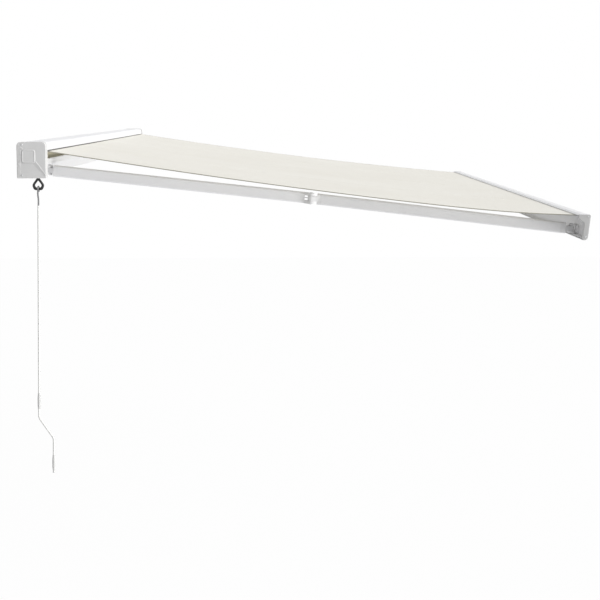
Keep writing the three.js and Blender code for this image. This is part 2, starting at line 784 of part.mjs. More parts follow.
function pivotBracket(plate, cheekReach, bounds) {
  const cheekLevels = [
    [tongueHalf + cheekGap, cheekTop],
    [-cheekTop, -tongueHalf - cheekGap],
  ];
  const cheeks = cheekLevels.map(([low, high]) => {
    const outline = [];
    for (let step = 0; step <= 12; step += 1) {
      const angle = (Math.PI * step) / 12;
      const side = -Math.sign(cheekReach);
      outline.push(point(endPivotRadius * Math.cos(angle), side * endPivotRadius * Math.sin(angle)));
    }
    outline.push(point(-endPivotRadius - 3, cheekReach), point(endPivotRadius + 3, cheekReach));
    return alongZ(new THREE.Shape(outline), low, high);
  });
  const held = bounds ? cheeks.map((cheek) => common(cheek, bounds)) : cheeks;
  const bore = straight(spot(0, 0, -armHeight), spot(0, 0, armHeight), pinRadius + pinClearance, 0, 24);
  return cut(joined(plate, ...held), bore);
}

function arm(side) {
  const word = side < 0 ? 'left' : 'right';
  const reach = -side;
  const shoulder = new THREE.Group();
  shoulder.position.set(side * (halfWidth - armInset), -shoulderOut, shoulderHeight);
  shoulder.rotation.x = slope;
  awning.add(shoulder);

  // Shoulder bracket: an upright plate on the recess's back wall, with two cheeks in the arms' plane
  const tilt = new THREE.Matrix4().makeRotationX(-slope);
  const wallFace = shoulderOut - recessBack - fit;
  const plate = boxFrom(-48, 48, wallFace - 5, wallFace, 5 - shoulderHeight, recessTop - 5 - shoulderHeight);
  plate.applyMatrix4(tilt);
  const bounds = boxFrom(-60, 60, -60, wallFace, -60, 60).applyMatrix4(tilt);
  place(shoulder, `shoulder_bracket_${word}`, pivotBracket(plate, wallFace + 6, bounds), castPaint);
  place(shoulder, `shoulder_pin_${word}`, pin(cheekTop), steel);

  const upper = new THREE.Group();
  upper.rotation.z = -reach * foldAngle;
  shoulder.add(upper);
  const lineUpper = -endOffset;
  const origin = point(0, 0);
  const tongue = [[-tongueHalf, tongueHalf]];
  const shoulderKnuckle = knuckle(reach, origin, endPivotRadius, knuckleFace, lineUpper, tongue);
  place(upper, `shoulder_knuckle_${word}`, shoulderKnuckle, castPaint);

  const armStart = knuckleFace + knuckleLength;
  const armEnd = elbowRun - knuckleFace - knuckleLength;
  const section = (lineV) => {
    const shape = new THREE.Shape(roundedBox(
      lineV - armWidth / 2, lineV + armWidth / 2, -armHeight / 2, armHeight / 2, armCornerRadius,
    ));
    shape.holes.push(new THREE.Path(roundedBox(
      lineV - armWidth / 2 + armSheet, lineV + armWidth / 2 - armSheet,
      -armHeight / 2 + armSheet, armHeight / 2 - armSheet, armCornerRadius - armSheet,
    )));
    return shape;
  };
  place(upper, `upper_arm_${word}`, alongX(section(lineUpper), ...run(reach, armStart, armEnd)), whitePaint);

  const elbow = point(elbowRun, -lateral);
  const forkLevels = [
    [tongueHalf + cheekGap, armHeight / 2],
    [-armHeight / 2, -tongueHalf - cheekGap],
  ];
  const forkFace = elbowRun - knuckleFace;
  const fork = knuckle(reach, elbow, elbowPivotRadius, forkFace, lineUpper, forkLevels);
  const cableBore = straight(
    spot(reach * (armEnd - plugLength - 5), lineUpper, 0),
    spot(reach * (elbowRun - 20), lineUpper, 0),
    cableRadius + 1,
    0,
    12,
  );
  place(upper, `elbow_fork_${word}`, cut(fork, cableBore), castPaint);

  const springStart = armStart + plugLength + fit;
  const springRun = run(reach, springStart, springStart + springLength);
  const spring = alongX(ring(lineUpper, 0, springRadius, springBore, 14), ...springRun);
  place(upper, `arm_spring_${word}`, spring, steel);
  const cable = straight(
    spot(reach * (springStart + springLength - 40), lineUpper, 0),
    spot(reach * (elbowRun - 12), lineUpper, 0),
    cableRadius,
    0,
    8,
  );
  const stop = straight(
    spot(reach * (springStart + springLength + fit), lineUpper, 0),
    spot(reach * (springStart + springLength + 6), lineUpper, 0),
    springRadius,
    0,
    14,
  );
  place(upper, `elbow_cable_${word}`, joined(cable, stop), steel);

  const forearm = new THREE.Group();
  forearm.position.set(reach * elbowRun, -lateral, 0);
  forearm.rotation.z = 2 * reach * foldAngle;
  upper.add(forearm);
  const elbowPin = new THREE.Group();
  elbowPin.position.set(reach * elbowRun, -lateral, 0);
  upper.add(elbowPin);
  place(elbowPin, `elbow_pin_${word}`, pin(armHeight / 2), steel);

  const lineFore = -lineOffset;
  const elbowTongue = knuckle(reach, origin, elbowPivotRadius, -knuckleFace, lineFore, tongue);
  place(forearm, `elbow_tongue_${word}`, elbowTongue, castPaint);
  const forearmTube = alongX(section(lineFore), ...run(reach, -armEnd, -armStart));
  place(forearm, `forearm_${word}`, forearmTube, whitePaint);
  const wrist = point(-elbowRun, -lateral);
  const wristKnuckle = knuckle(reach, wrist, endPivotRadius, knuckleFace - elbowRun, lineFore, tongue);
  place(forearm, `wrist_knuckle_${word}`, wristKnuckle, castPaint);

  const bar = new THREE.Group();
  bar.position.set(side * (halfWidth - armInset), -wristOut, wristHeight);
  bar.rotation.x = slope;
  awning.add(bar);
  const inner = barFront - barSheet - fit;
  const plateLow = barBottom + barCornerRadius;
  const wristPlate = boxFrom(-42, 42, -inner, -inner + 5, plateLow, cheekTop + 1);
  place(bar, `wrist_bracket_${word}`, pivotBracket(wristPlate, -inner + 3.2, null), castPaint);
  place(bar, `wrist_pin_${word}`, pin(cheekTop), steel);
}

// Front bar, drawn as (v, n) about the wrist pins' line
const past = (u, n) => point(-u, n);

function frontBar() {
  const bar = new THREE.Group();
  bar.position.set(0, -wristOut, wristHeight);
  bar.rotation.x = slope;
  awning.add(bar);
  const end = halfWidth - barCapThickness - fit;
  const half = barSheet / 2;
  const line = rounded([
    past(barBack, barTopBack - half),
    past(barFront - half, barTopFront - half),
    past(barFront - half, barBottom + half),
    past(barLip, barBottom + half),
  ], [0, 6, barCornerRadius, 0]);
  const shell = alongX(sheetOutline(line, barSheet), -end, end);

  // The fabric groove: a round channel, open towards the wall
  const middle = grooveRadius + grooveSheet / 2;
  const channel = [];
  for (let step = 0; step <= 14; step += 1) {
    const angle = rad(22 + (316 * step) / 14);
    channel.push(past(grooveU - middle * Math.cos(angle), grooveN + middle * Math.sin(angle)));
  }
  const groove = alongX(sheetOutline(channel, grooveSheet), -end, end);
  place(bar, 'front_bar_profile', joined(shell, groove), whitePaint);

  const kederEnd = halfWidth - coverInset;
  const keder = alongX(circle(-grooveU, grooveN, kederRadius, 12), -kederEnd, kederEnd);
  place(bar, 'keder_rod', keder, greyPlastic);

  const capLine = rounded([
    past(barBack - 1, barTopBack - 16),
    past(barBack - 1, barTopBack + 1),
    past(barFront + 1, barTopFront + 1),
    past(barFront + 1, barBottom - 1),
    past(barLip, barBottom - 1),
    past(barLip, barTopBack - 42),
  ], [3, 3, 7, barCornerRadius + 1, 3, 12], true);
  const capInner = halfWidth - barCapThickness;
  const capShape = new THREE.Shape(capLine);
  place(bar, 'bar_cap_left', alongX(capShape, -halfWidth, -capInner), castPaint);
  place(bar, 'bar_cap_right', alongX(capShape, capInner, halfWidth), castPaint);
}

function cover() {
  const steps = 24;
  const line = Array.from({ length: steps + 1 }, (_, step) => {
    const middle = coverPoint(step / steps);
    return at(middle.x, middle.y);
  });
  const edge = halfWidth - coverInset;
  place(awning, 'canopy_cover', alongX(sheetOutline(line, coverThickness), -edge, edge), cloth);
}

caseProfiles();
endCap(-1);
endCap(1);
wallBracket('left', bracketInset - halfWidth);
wallBracket('centre', 0);
wallBracket('right', halfWidth - bracketInset);
roller();
wormGear();
crank();
arm(-1);
arm(1);
frontBar();
cover();

const part = new THREE.Group();
part.add(awning);

export default part;
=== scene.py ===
# Folding-arm canvas awning, opened: the looks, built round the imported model.
# Metres. +X runs along the width, -Y points out from the wall, +Z is up; the origin is on the wall.

import json
import math

import bmesh
import bpy
from mathutils import Matrix, Vector, noise


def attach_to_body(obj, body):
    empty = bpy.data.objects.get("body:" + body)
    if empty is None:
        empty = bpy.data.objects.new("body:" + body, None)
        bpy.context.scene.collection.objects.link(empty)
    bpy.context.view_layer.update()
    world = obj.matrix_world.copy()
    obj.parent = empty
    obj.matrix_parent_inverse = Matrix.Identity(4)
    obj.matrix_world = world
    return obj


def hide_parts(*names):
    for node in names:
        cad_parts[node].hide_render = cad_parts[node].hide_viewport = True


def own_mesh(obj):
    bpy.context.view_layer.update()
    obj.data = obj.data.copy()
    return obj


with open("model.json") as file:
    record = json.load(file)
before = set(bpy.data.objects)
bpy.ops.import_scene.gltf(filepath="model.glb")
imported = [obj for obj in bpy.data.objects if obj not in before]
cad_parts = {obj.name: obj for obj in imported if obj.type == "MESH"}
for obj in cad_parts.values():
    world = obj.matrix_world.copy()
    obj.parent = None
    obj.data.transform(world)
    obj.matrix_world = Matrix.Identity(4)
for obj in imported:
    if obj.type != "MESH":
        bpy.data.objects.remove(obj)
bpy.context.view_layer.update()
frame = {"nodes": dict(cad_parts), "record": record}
BODY_OF = {node: body for body, nodes in frame["record"]["behaviour"]["bodies"].items() for node in nodes}
SLOT_OF = {entry["node"]: entry["material_slot"] for entry in frame["record"]["subparts"]}
SIDES = ((-1, "left"), (1, "right"))

SLOPE = math.radians(6.5)
HALF_WIDTH = 2.0
ORIGIN_HEIGHT = 0.075
FIT_GAP = 0.0003

# Case
CAP_LENGTH = 0.055
CAP_BACK = 0.003
CAP_FRONT = 0.152
CAP_HEIGHT = 0.188
CAP_TOP_RADIUS = 0.021
CAP_RELIEF = 0.003
HOOD_FRONT = 0.150
LIP_HEIGHT = 0.140
ROLLER_OUT = 0.064
ROLLER_HEIGHT = 0.109
ROLL_RADIUS = 0.042

# Gear eye and crank
EYE_X = -HALF_WIDTH + 0.027
WORM_OUT = 0.107
HOOK_HEIGHT = -0.0589
CRANK_HANG = math.radians(1)
CRANK_OFFSET = 0.077
CRANK_BOTTOM = -1.569
GRIP_LENGTH = 0.084
GRIP_UPPER_TOP = -1.142
GRIP_LOWER_TOP = -1.476

# Arms and front bar
ARM_INSET = 0.225
SHOULDER_OUT = 0.114
SHOULDER_HEIGHT = 0.032
OPEN_REACH = 2.86
ARM_LENGTH = 1.431
LATERAL = 0.035
WRIST_OUT = SHOULDER_OUT + OPEN_REACH * math.cos(SLOPE)
WRIST_HEIGHT = SHOULDER_HEIGHT - OPEN_REACH * math.sin(SLOPE)
GROOVE_U = -0.027
GROOVE_N = 0.086
KEDER_RADIUS = 0.0034

# Cover
COVER_INSET = 0.060
COVER_HALF = HALF_WIDTH - COVER_INSET
COVER_SAG = 0.027
COVER_THICKNESS = 0.0006


def at(x, out, height):
    """A point from its place along the width, its distance from the wall and its height in the case."""
    return Vector((x, -out, height - ORIGIN_HEIGHT))


# Materials

THREAD_PITCH = 0.0007


def new_material(name, color, roughness, metallic=0.0):
    material = bpy.data.materials.new(name)
    material.use_nodes = True
    shader = material.node_tree.nodes["Principled BSDF"]
    shader.inputs["Base Color"].default_value = (*color, 1)
    shader.inputs["Roughness"].default_value = roughness
    shader.inputs["Metallic"].default_value = metallic
    return material, shader


def add_node(material, kind, **values):
    node = material.node_tree.nodes.new(kind)
    for key, value in values.items():
        if key in node.inputs.keys():
            node.inputs[key].default_value = value
        else:
            setattr(node, key, value)
    return node


def link(material, source, output, target, socket):
    material.node_tree.links.new(source.outputs[output], target.inputs[socket])


def object_place(material, scale=(1, 1, 1)):
    place = add_node(material, "ShaderNodeTexCoord")
    mapping = add_node(material, "ShaderNodeMapping")
    mapping.inputs["Scale"].default_value = scale
    link(material, place, "Object", mapping, "Vector")
    return mapping


def noise_at(material, place, **values):
    texture = add_node(material, "ShaderNodeTexNoise", **values)
    link(material, place, "Vector", texture, "Vector")
    return texture


def tone_ramp(material, shader, low, high, start, end):
    """Colours the shader from low to high while the ramp's input runs from start to end."""
    ramp = add_node(material, "ShaderNodeValToRGB")
    for element, position, tone in zip(ramp.color_ramp.elements, (start, end), (low, high)):
        element.position = position
        element.color = (*tone, 1)
    link(material, ramp, "Color", shader, "Base Color")
    return ramp


def add_bump(material, shader, source, output, strength, distance):
    bump = add_node(material, "ShaderNodeBump", Strength=strength, Distance=distance)
    link(material, source, output, bump, "Height")
    link(material, bump, "Normal", shader, "Normal")


def vary_color(material, shader, low, high, scale, stretch=(1, 1, 1)):
    """A soft drift of the base colour between two tones."""
    clouds = noise_at(material, object_place(material, stretch), Scale=scale, Detail=3.0, Roughness=0.55)
    link(material, clouds, "Fac", tone_ramp(material, shader, low, high, 0.3, 0.7), "Fac")


def vary_roughness(material, shader, low, high, scale):
    clouds = noise_at(material, object_place(material), Scale=scale, Detail=2.0)
    span = add_node(material, "ShaderNodeMapRange")
    span.inputs["To Min"].default_value = low
    span.inputs["To Max"].default_value = high
    link(material, clouds, "Fac", span, "Value")
    link(material, span, "Result", shader, "Roughness")


def grain_bump(material, shader, scale, strength, distance, stretch=(1, 1, 1), detail=2.0):
    grain = noise_at(material, object_place(material, stretch), Scale=scale, Detail=detail)
    add_bump(material, shader, grain, "Fac", strength, distance)


def powder_coat():
    material, shader = new_material("powder_coat", (0.82, 0.82, 0.83), 0.42)
    vary_color(material, shader, (0.80, 0.80, 0.815), (0.835, 0.835, 0.84), 2.2, (0.4, 1, 1))
    vary_roughness(material, shader, 0.36, 0.48, 60)
    grain_bump(material, shader, 900, 0.12, 0.0002)
    return material


def cast_coat():
    material, shader = new_material("cast_coat", (0.79, 0.79, 0.795), 0.5)
    vary_color(material, shader, (0.77, 0.77, 0.775), (0.81, 0.81, 0.815), 30)
    vary_roughness(material, shader, 0.42, 0.58, 120)
    grain_bump(material, shader, 1400, 0.3, 0.0003, detail=4.0)
    return material


def warm_grey(level):
    return level, level * 0.996, level * 0.987


def cap_coat(name, low, high):
    material, shader = new_material(name, warm_grey(high), 0.5)
    vary_color(material, shader, warm_grey(low), warm_grey(high), 14)
    vary_roughness(material, shader, 0.4, 0.5, 80)
    grain_bump(material, shader, 1600, 0.25, 0.0002, detail=3.0)
    return material


def plated_steel(name, low, high, roughness):
    material, shader = new_material(name, high, roughness, 1.0)
    vary_color(material, shader, low, high, 40, (6, 6, 0.6))
    vary_roughness(material, shader, roughness - 0.08, roughness + 0.1, 160)
    grain_bump(material, shader, 700, 0.2, 0.0002, (1, 1, 0.05))
    return material


def moulded(name, low, high, roughness):
    material, shader = new_material(name, high, roughness)
    vary_color(material, shader, low, high, 50)
    vary_roughness(material, shader, roughness - 0.07, roughness + 0.07, 90)
    grain_bump(material, shader, 2200, 0.3, 0.00015, detail=3.0)
    return material


def rod_paint():
    material, shader = new_material("rod_paint", (0.735, 0.735, 0.715), 0.5)
    vary_color(material, shader, (0.72, 0.72, 0.70), (0.75, 0.75, 0.73), 12, (1, 1, 0.3))
    grain_bump(material, shader, 600, 0.02, 0.0001)
    return material


def woven_cloth(name, low, high):
    """A plain weave: warp and weft waves along X and along the slope, with soft drifts of tone."""
    material, shader = new_material(name, high, 0.86)
    shader.inputs["Sheen Weight"].default_value = 0.15
    shader.inputs["Sheen Roughness"].default_value = 0.5
    place = object_place(material)
    slub = noise_at(material, object_place(material, (1, 0.03, 0.03)), Scale=220, Detail=2.0)

    def with_slub(source, output, weight):
        """Adds the uneven thickness of the threads to another pattern."""
        total = add_node(material, "ShaderNodeMath", operation="MULTIPLY_ADD")
        total.inputs[1].default_value = weight
        link(material, slub, "Fac", total, 0)
        link(material, source, output, total, 2)
        return total

    weave = add_node(material, "ShaderNodeMath", operation="MAXIMUM")
    for socket, direction in enumerate(("X", "Y")):
        wave = add_node(
            material, "ShaderNodeTexWave", Scale=1 / THREAD_PITCH / 3.2, Distortion=0.6, Detail=1.0,
            wave_type="BANDS", bands_direction=direction,
        )
        link(material, place, "Vector", wave, "Vector")
        link(material, wave, "Fac", weave, socket)
    add_bump(material, shader, with_slub(weave, "Value", 0.7), "Value", 0.35, 0.0003)

    drift = noise_at(material, place, Scale=1.4, Detail=4.0, Roughness=0.6)
    ramp = tone_ramp(material, shader, low, high, 0.35, 0.9)
    link(material, with_slub(drift, "Fac", 0.25), "Value", ramp, "Fac")
    return material


POWDER = powder_coat()
CAST = cast_coat()
CAP = cap_coat("cap_coat", 0.56, 0.60)
# The bar's caps take a darker copy of the caps' coat: painted shade, since they are the same grey plastic.
SHADED_BAR_CAP = cap_coat("bar_cap_coat_painted_shade", 0.44, 0.475)
ZINC = plated_steel("zinc_steel", (0.5, 0.51, 0.52), (0.64, 0.65, 0.66), 0.34)
HOOK_STEEL = plated_steel("hook_steel", (0.19, 0.19, 0.195), (0.25, 0.25, 0.255), 0.55)
SPRING_STEEL = plated_steel("spring_steel", (0.22, 0.22, 0.225), (0.34, 0.34, 0.345), 0.38)
BLACK = moulded("black_plastic", (0.006, 0.006, 0.007), (0.012, 0.012, 0.013), 0.55)
GREY = moulded("grey_plastic", (0.62, 0.62, 0.62), (0.68, 0.68, 0.68), 0.5)
GRIP = moulded("grip_plastic", (0.54, 0.54, 0.53), (0.60, 0.60, 0.59), 0.48)
# The seal's near-black rubber is painted shade for the shadow line under the hood's lip.
SHADE_SEAL = moulded("seal_rubber_painted_shade", (0.05, 0.05, 0.047), (0.09, 0.088, 0.08), 0.7)
ROD = rod_paint()
CLOTH = woven_cloth("awning_canvas", (0.80, 0.775, 0.70), (0.85, 0.83, 0.765))
# The roll is the cover's own canvas, darker and warmer: painted shade for the inside of the case.
SHADED_ROLL_CLOTH = woven_cloth("rolled_canvas_painted_shade", (0.66, 0.62, 0.47), (0.72, 0.68, 0.53))
# The dark binding tape is painted shade along the cover's side edges.
SHADE_EDGE_CLOTH = woven_cloth("hem_tape_painted_shade", (0.27, 0.26, 0.215), (0.36, 0.345, 0.29))
THREAD = moulded("stitch_thread", (0.68, 0.65, 0.58), (0.78, 0.755, 0.69), 0.7)

SLOT_MATERIALS = {
    "powder_coat": POWDER,
    "cast_parts": CAST,
    "end_caps": CAP,
    "steel": ZINC,
    "grey_plastic": GREY,
    "black_eye": BLACK,
    "crank_white": ROD,
    "grip_plastic": GRIP,
    "cover_fabric": CLOTH,
}


def smooth_by_angle(obj, degrees):
    mesh = obj.data
    mesh.polygons.foreach_set("use_smooth", [True] * len(mesh.polygons))
    mesh.set_sharp_from_angle(angle=math.radians(degrees))


def finish_cad_nodes():
    """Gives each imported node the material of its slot, and smooth shading on its round faces."""
    for name, node in frame["nodes"].items():
        node.data.materials.clear()
        node.data.materials.append(SLOT_MATERIALS[SLOT_OF[name]])
        smooth_by_angle(node, 32)


# Outlines


def points_of(*pairs):
    return [Vector(pair) for pair in pairs]


def steps_between(low, high, count):
    return [low + (high - low) * step / count for step in range(count + 1)]


def arc_points(centre, radius, start_deg, sweep_deg, steps):
    points = []
    for step in range(steps + 1):
        angle = math.radians(start_deg + sweep_deg * step / steps)
        points.append(centre + Vector((math.cos(angle), math.sin(angle))) * radius)
    return points


def offset_ring(points, amount):
    """Moves a closed ring inward by a fixed amount."""
    result = []
    count = len(points)
    area = sum(a.x * b.y - b.x * a.y for a, b in zip(points, points[1:] + points[:1]))
    turn = 1 if area > 0 else -1
    for index, here in enumerate(points):
        inward = (here - points[index - 1]).normalized()
        onward = (points[(index + 1) % count] - here).normalized()
        normal = (Vector((-inward.y, inward.x)) + Vector((-onward.y, onward.x))).normalized()
        stretch = max(0.35, normal.dot(Vector((-inward.y, inward.x))))
        result.append(here + normal * (turn * amount / stretch))
    return result


def rounded_corners(points, radii, segments):
    """A run of points with its corners rounded, each by its own radius, where 0 leaves a corner sharp."""
    result = []
    count = len(points)
    for index, corner in enumerate(points):
        radius = radii[index]
        corner = Vector(corner)
        if radius == 0:
            result.append(corner)
            continue
        before = (Vector(points[index - 1]) - corner).normalized()
        after = (Vector(points[(index + 1) % count]) - corner).normalized()
        half = before.angle(after) / 2
        reach = radius / math.tan(half)
        centre = corner + (before + after).normalized() * (radius / math.sin(half))
        start = corner + before * reach - centre
        end = corner + after * reach - centre
        turn = math.atan2(start.x * end.y - start.y * end.x, start.dot(end))
        for step in range(segments + 1):
            angle = turn * step / segments
            spun = Vector((
                start.x * math.cos(angle) - start.y * math.sin(angle),
                start.x * math.sin(angle) + start.y * math.cos(angle),
            ))
            result.append(centre + spun)
    return result


# Mesh helpers


def placed(name, data, *materials):
    """A new object in the scene, with its materials."""
    obj = bpy.data.objects.new(name, data)
    bpy.context.scene.collection.objects.link(obj)
    for material in materials:
        data.materials.append(material)
    return obj


def mesh_object(name, vertices, faces, material):
    mesh = bpy.data.meshes.new(name)
    mesh.from_pydata([tuple(v) for v in vertices], [], faces)
    mesh.validate()
    mesh.update()
    return placed(name, mesh, material)


def mesh_from(name, bm):
    mesh = bpy.data.meshes.new(name)
    bm.to_mesh(mesh)
    bm.free()
    return mesh


def reworked(obj, *steps):
    """Does steps of mesh work on an object, each of them given its open mesh."""
    bm = bmesh.new()
    bm.from_mesh(obj.data)
    for step in steps:
        step(bm)
    bm.to_mesh(obj.data)
    bm.free()
    return obj


def merge_seam(bm):
    bmesh.ops.remove_doubles(bm, verts=bm.verts, dist=1e-6)


def face_outward(bm):
    bmesh.ops.recalc_face_normals(bm, faces=bm.faces)


def attach(obj, body, slot, *replaced):
    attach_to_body(obj, body)
    if replaced:
        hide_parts(*replaced)
    return obj


def sweep_rings(name, rings, material, caps=True, smooth=40):
    """Joins rings of points with the same count into one skin."""
    vertices = [point for ring in rings for point in ring]
    size = len(rings[0])
    last = (len(rings) - 1) * size
    faces = []
    for row in range(0, last, size):
        for step in range(size):
            a = row + step
            b = row + (step + 1) % size
            faces.append((a, b, b + size, a + size))
    if caps:
        faces.append(tuple(reversed(range(size))))
        faces.append(tuple(range(last, last + size)))
    obj = reworked(mesh_object(name, vertices, faces, material), face_outward)
    smooth_by_angle(obj, smooth)
    return obj


def closed_skin(name, rings, material, smooth=40):
    """A skin whose last ring meets its first."""
    obj = sweep_rings(name, [*rings, rings[0]], material, caps=False)
    reworked(obj, merge_seam, face_outward)
    smooth_by_angle(obj, smooth)
    return obj


def ring_loop(centre, axis_u, axis_v, radius, sides):
    loop = []
    for step in range(sides):
        angle = 2 * math.pi * step / sides
        loop.append(centre + axis_u * (radius * math.cos(angle)) + axis_v * (radius * math.sin(angle)))
    return loop


def tube_along(name, points, radii, material, sides=20):
    """A round bar along a run of points, with a radius at each point."""
    last = len(points) - 1
    rings = []
    side = None
    for index, here in enumerate(points):
        tangent = (points[min(index + 1, last)] - points[max(index - 1, 0)]).normalized()
        if side is None:
            side = Vector((1, 0, 0)) if abs(tangent.x) < 0.8 else Vector((0, 1, 0))
        side = (side - tangent * side.dot(tangent)).normalized()
        rings.append(ring_loop(here, side, tangent.cross(side), radii[index], sides))
    return sweep_rings(name, rings, material)


# Camera, floor and light

CAMERA_PLACE = (-7.5725, -1.3534, 0.2773)
CAMERA_YAW = math.radians(1.197)
CAMERA_PITCH = math.radians(5.005)
CAMERA_LENS = 64.33
CAMERA_SHIFT = -0.16
FLOOR_HEIGHT = -2.7
FLOOR_REACH = 14
FLOOR_WHITE = 0.975
AMBIENT = 0.55
KEY_STRENGTH = 0.73
FILL_STRENGTH = 0.65


def add_camera():
    data = bpy.data.cameras.new("camera")
    data.sensor_width = 36
    data.lens = CAMERA_LENS
    data.shift_y = CAMERA_SHIFT
    data.clip_end = 100
    camera = placed("camera", data)
    level = math.cos(CAMERA_PITCH)
    forward = Vector((math.cos(CAMERA_YAW) * level, -math.sin(CAMERA_YAW) * level, -math.sin(CAMERA_PITCH)))
    right = forward.cross(Vector((0, 0, 1))).normalized()
    turn = Matrix((right, right.cross(forward), -forward)).transposed().to_4x4()
    camera.matrix_world = Matrix.Translation(CAMERA_PLACE) @ turn
    bpy.context.scene.camera = camera


def white_for_camera(tree, surface, target, share):
    """Mixes a surface with plain white for the rays that show the background."""
    path = tree.nodes.new("ShaderNodeLightPath")
    seen = path.outputs["Is Camera Ray"]
    for ray in ("Is Glossy Ray", "Is Transmission Ray"):
        either = tree.nodes.new("ShaderNodeMath")
        either.operation = "MAXIMUM"
        tree.links.new(seen, either.inputs[0])
        tree.links.new(path.outputs[ray], either.inputs[1])
        seen = either.outputs["Value"]
    part = tree.nodes.new("ShaderNodeMath")
    part.operation = "MULTIPLY"
    part.inputs[1].default_value = share
    tree.links.new(seen, part.inputs[0])
    white = tree.nodes.new("ShaderNodeEmission")
    white.inputs["Color"].default_value = (1, 1, 1, 1)
    white.inputs["Strength"].default_value = 1
    mix = tree.nodes.new("ShaderNodeMixShader")
    tree.links.new(part.outputs["Value"], mix.inputs["Fac"])
    tree.links.new(surface, mix.inputs[1])
    tree.links.new(white.outputs["Emission"], mix.inputs[2])
    tree.links.new(mix.outputs["Shader"], target)


def add_stage():
    """A large floor under the part, nearly white to the camera."""
    paint, shader = new_material("floor_paint", (0.6, 0.6, 0.6), 0.9)
    tree = paint.node_tree
    surface = tree.nodes["Material Output"].inputs["Surface"]
    white_for_camera(tree, shader.outputs["BSDF"], surface, FLOOR_WHITE)
    corners = ((-1, -1), (1, -1), (1, 1), (-1, 1))
    places = [(x * FLOOR_REACH, y * FLOOR_REACH, FLOOR_HEIGHT) for x, y in corners]
    floor = mesh_object("floor", places, [(0, 1, 2, 3)], paint)
    floor.visible_shadow = False


def add_light():
    world = bpy.data.worlds.new("studio")
    bpy.context.scene.world = world
    world.use_nodes = True
    tree = world.node_tree
    ambient = tree.nodes["Background"]
    ambient.inputs["Color"].default_value = (0.98, 0.985, 1.0, 1)
    ambient.inputs["Strength"].default_value = AMBIENT
    white_for_camera(tree, ambient.outputs["Background"], tree.nodes["World Output"].inputs["Surface"], 1)
    suns = [
        ("key", (-0.3, -0.8, 0.52), KEY_STRENGTH, 30),
        ("low_front", (-0.35, -0.85, -0.4), FILL_STRENGTH, 40),
    ]
    for name, towards, strength, spread in suns:
        data = bpy.data.lights.new(name, "SUN")
        data.energy = strength * math.pi
        data.angle = math.radians(spread)
        lamp = placed(name, data)
        lamp.rotation_euler = Vector(towards).to_track_quat("Z", "Y").to_euler()


# The cover: one stretched sheet from the roll to the groove in the front bar

COVER_LIFT = 0.0009
COVER_FROM = Vector((
    ROLLER_OUT + ROLL_RADIUS * math.sin(SLOPE),
    ROLLER_HEIGHT + ROLL_RADIUS * math.cos(SLOPE),
))
GROOVE_OUT = WRIST_OUT + GROOVE_U * math.cos(SLOPE) + GROOVE_N * math.sin(SLOPE)
GROOVE_HEIGHT = WRIST_HEIGHT + GROOVE_N * math.cos(SLOPE) - GROOVE_U * math.sin(SLOPE)
COVER_TO = Vector((
    GROOVE_OUT - (KEDER_RADIUS + COVER_LIFT) * math.cos(SLOPE),
    GROOVE_HEIGHT + (KEDER_RADIUS + COVER_LIFT) * math.sin(SLOPE),
))
COVER_RUN = (COVER_TO - COVER_FROM).length
HALF_SHEET = COVER_THICKNESS / 2
COVER_WAIST = 0.005
COVER_BOW = 0.0025
SIDE_SLACK = 0.016
FRONT_SLACK = 0.014
FRONT_SLACK_SCALE = 12.2
WAVE_HEIGHT = 0.0018
FINE_WAVE_HEIGHT = 0.0007
END_FADE = 25
SEAMS = (-0.97, 0.0, 0.97)
SEAM_WIDTH = 0.018
SEAM_SWELL = 0.0007
HEM_WIDTH = 0.022
HEM_OVERHANG = 0.0012
HEM_SWELL = 0.0016
BINDING_IN = 0.0025
BINDING_OUT = 0.0022
BINDING_SWELL = 0.0022
FRONT_HEM = 0.024
FRONT_HEM_SWELL = 0.0009
STITCH_LENGTH = 0.0034
STITCH_WIDTH = 0.0008
STITCH_RISE = 0.0004


def cover_waist(share):
    """How far the side edges are drawn in by the pull between roll and front bar."""
    return COVER_WAIST * 4 * share * (1 - share)


def cover_wave(x, share):
    """Small slack waves that run along the pull, strongest beside the seams and near the hems."""
    ends = min(1, share * END_FADE) * min(1, (1 - share) * END_FADE)
    beside = sum(math.exp(-((abs(x - seam) - 0.03) / 0.05) ** 2) for seam in SEAMS)
    beside += math.exp(-((COVER_HALF - abs(x)) / 0.09) ** 2)
    drift = noise.noise(Vector((x * 2.3, share * 3.1, 4.7)))
    fine = noise.noise(Vector((x * 9, share * 5, 1.3)))
    return ends * (WAVE_HEIGHT * drift + FINE_WAVE_HEIGHT * beside * fine)


def cover_place(x, share, lift=0.0):
    """A point of the cover's middle surface; lift is its distance above it."""
    middle = COVER_FROM.lerp(COVER_TO, share)
    bow = COVER_BOW * math.sin(math.pi * share) * (1 - (x / COVER_HALF) ** 2)
    slack = 0.5 - 0.5 * max(-1, min(1, x / COVER_HALF))
    slack *= SIDE_SLACK * share * (1 - share) + FRONT_SLACK * FRONT_SLACK_SCALE * share ** 4 * (1 - share)
    sag = 4 * COVER_SAG * share * (1 - share) + bow + slack
    height = middle.y + COVER_LIFT * (1 - share) - sag + cover_wave(x, share)
    return at(x * (1 - cover_waist(share) / COVER_HALF), middle.x, height) + Vector((0, 0, lift))


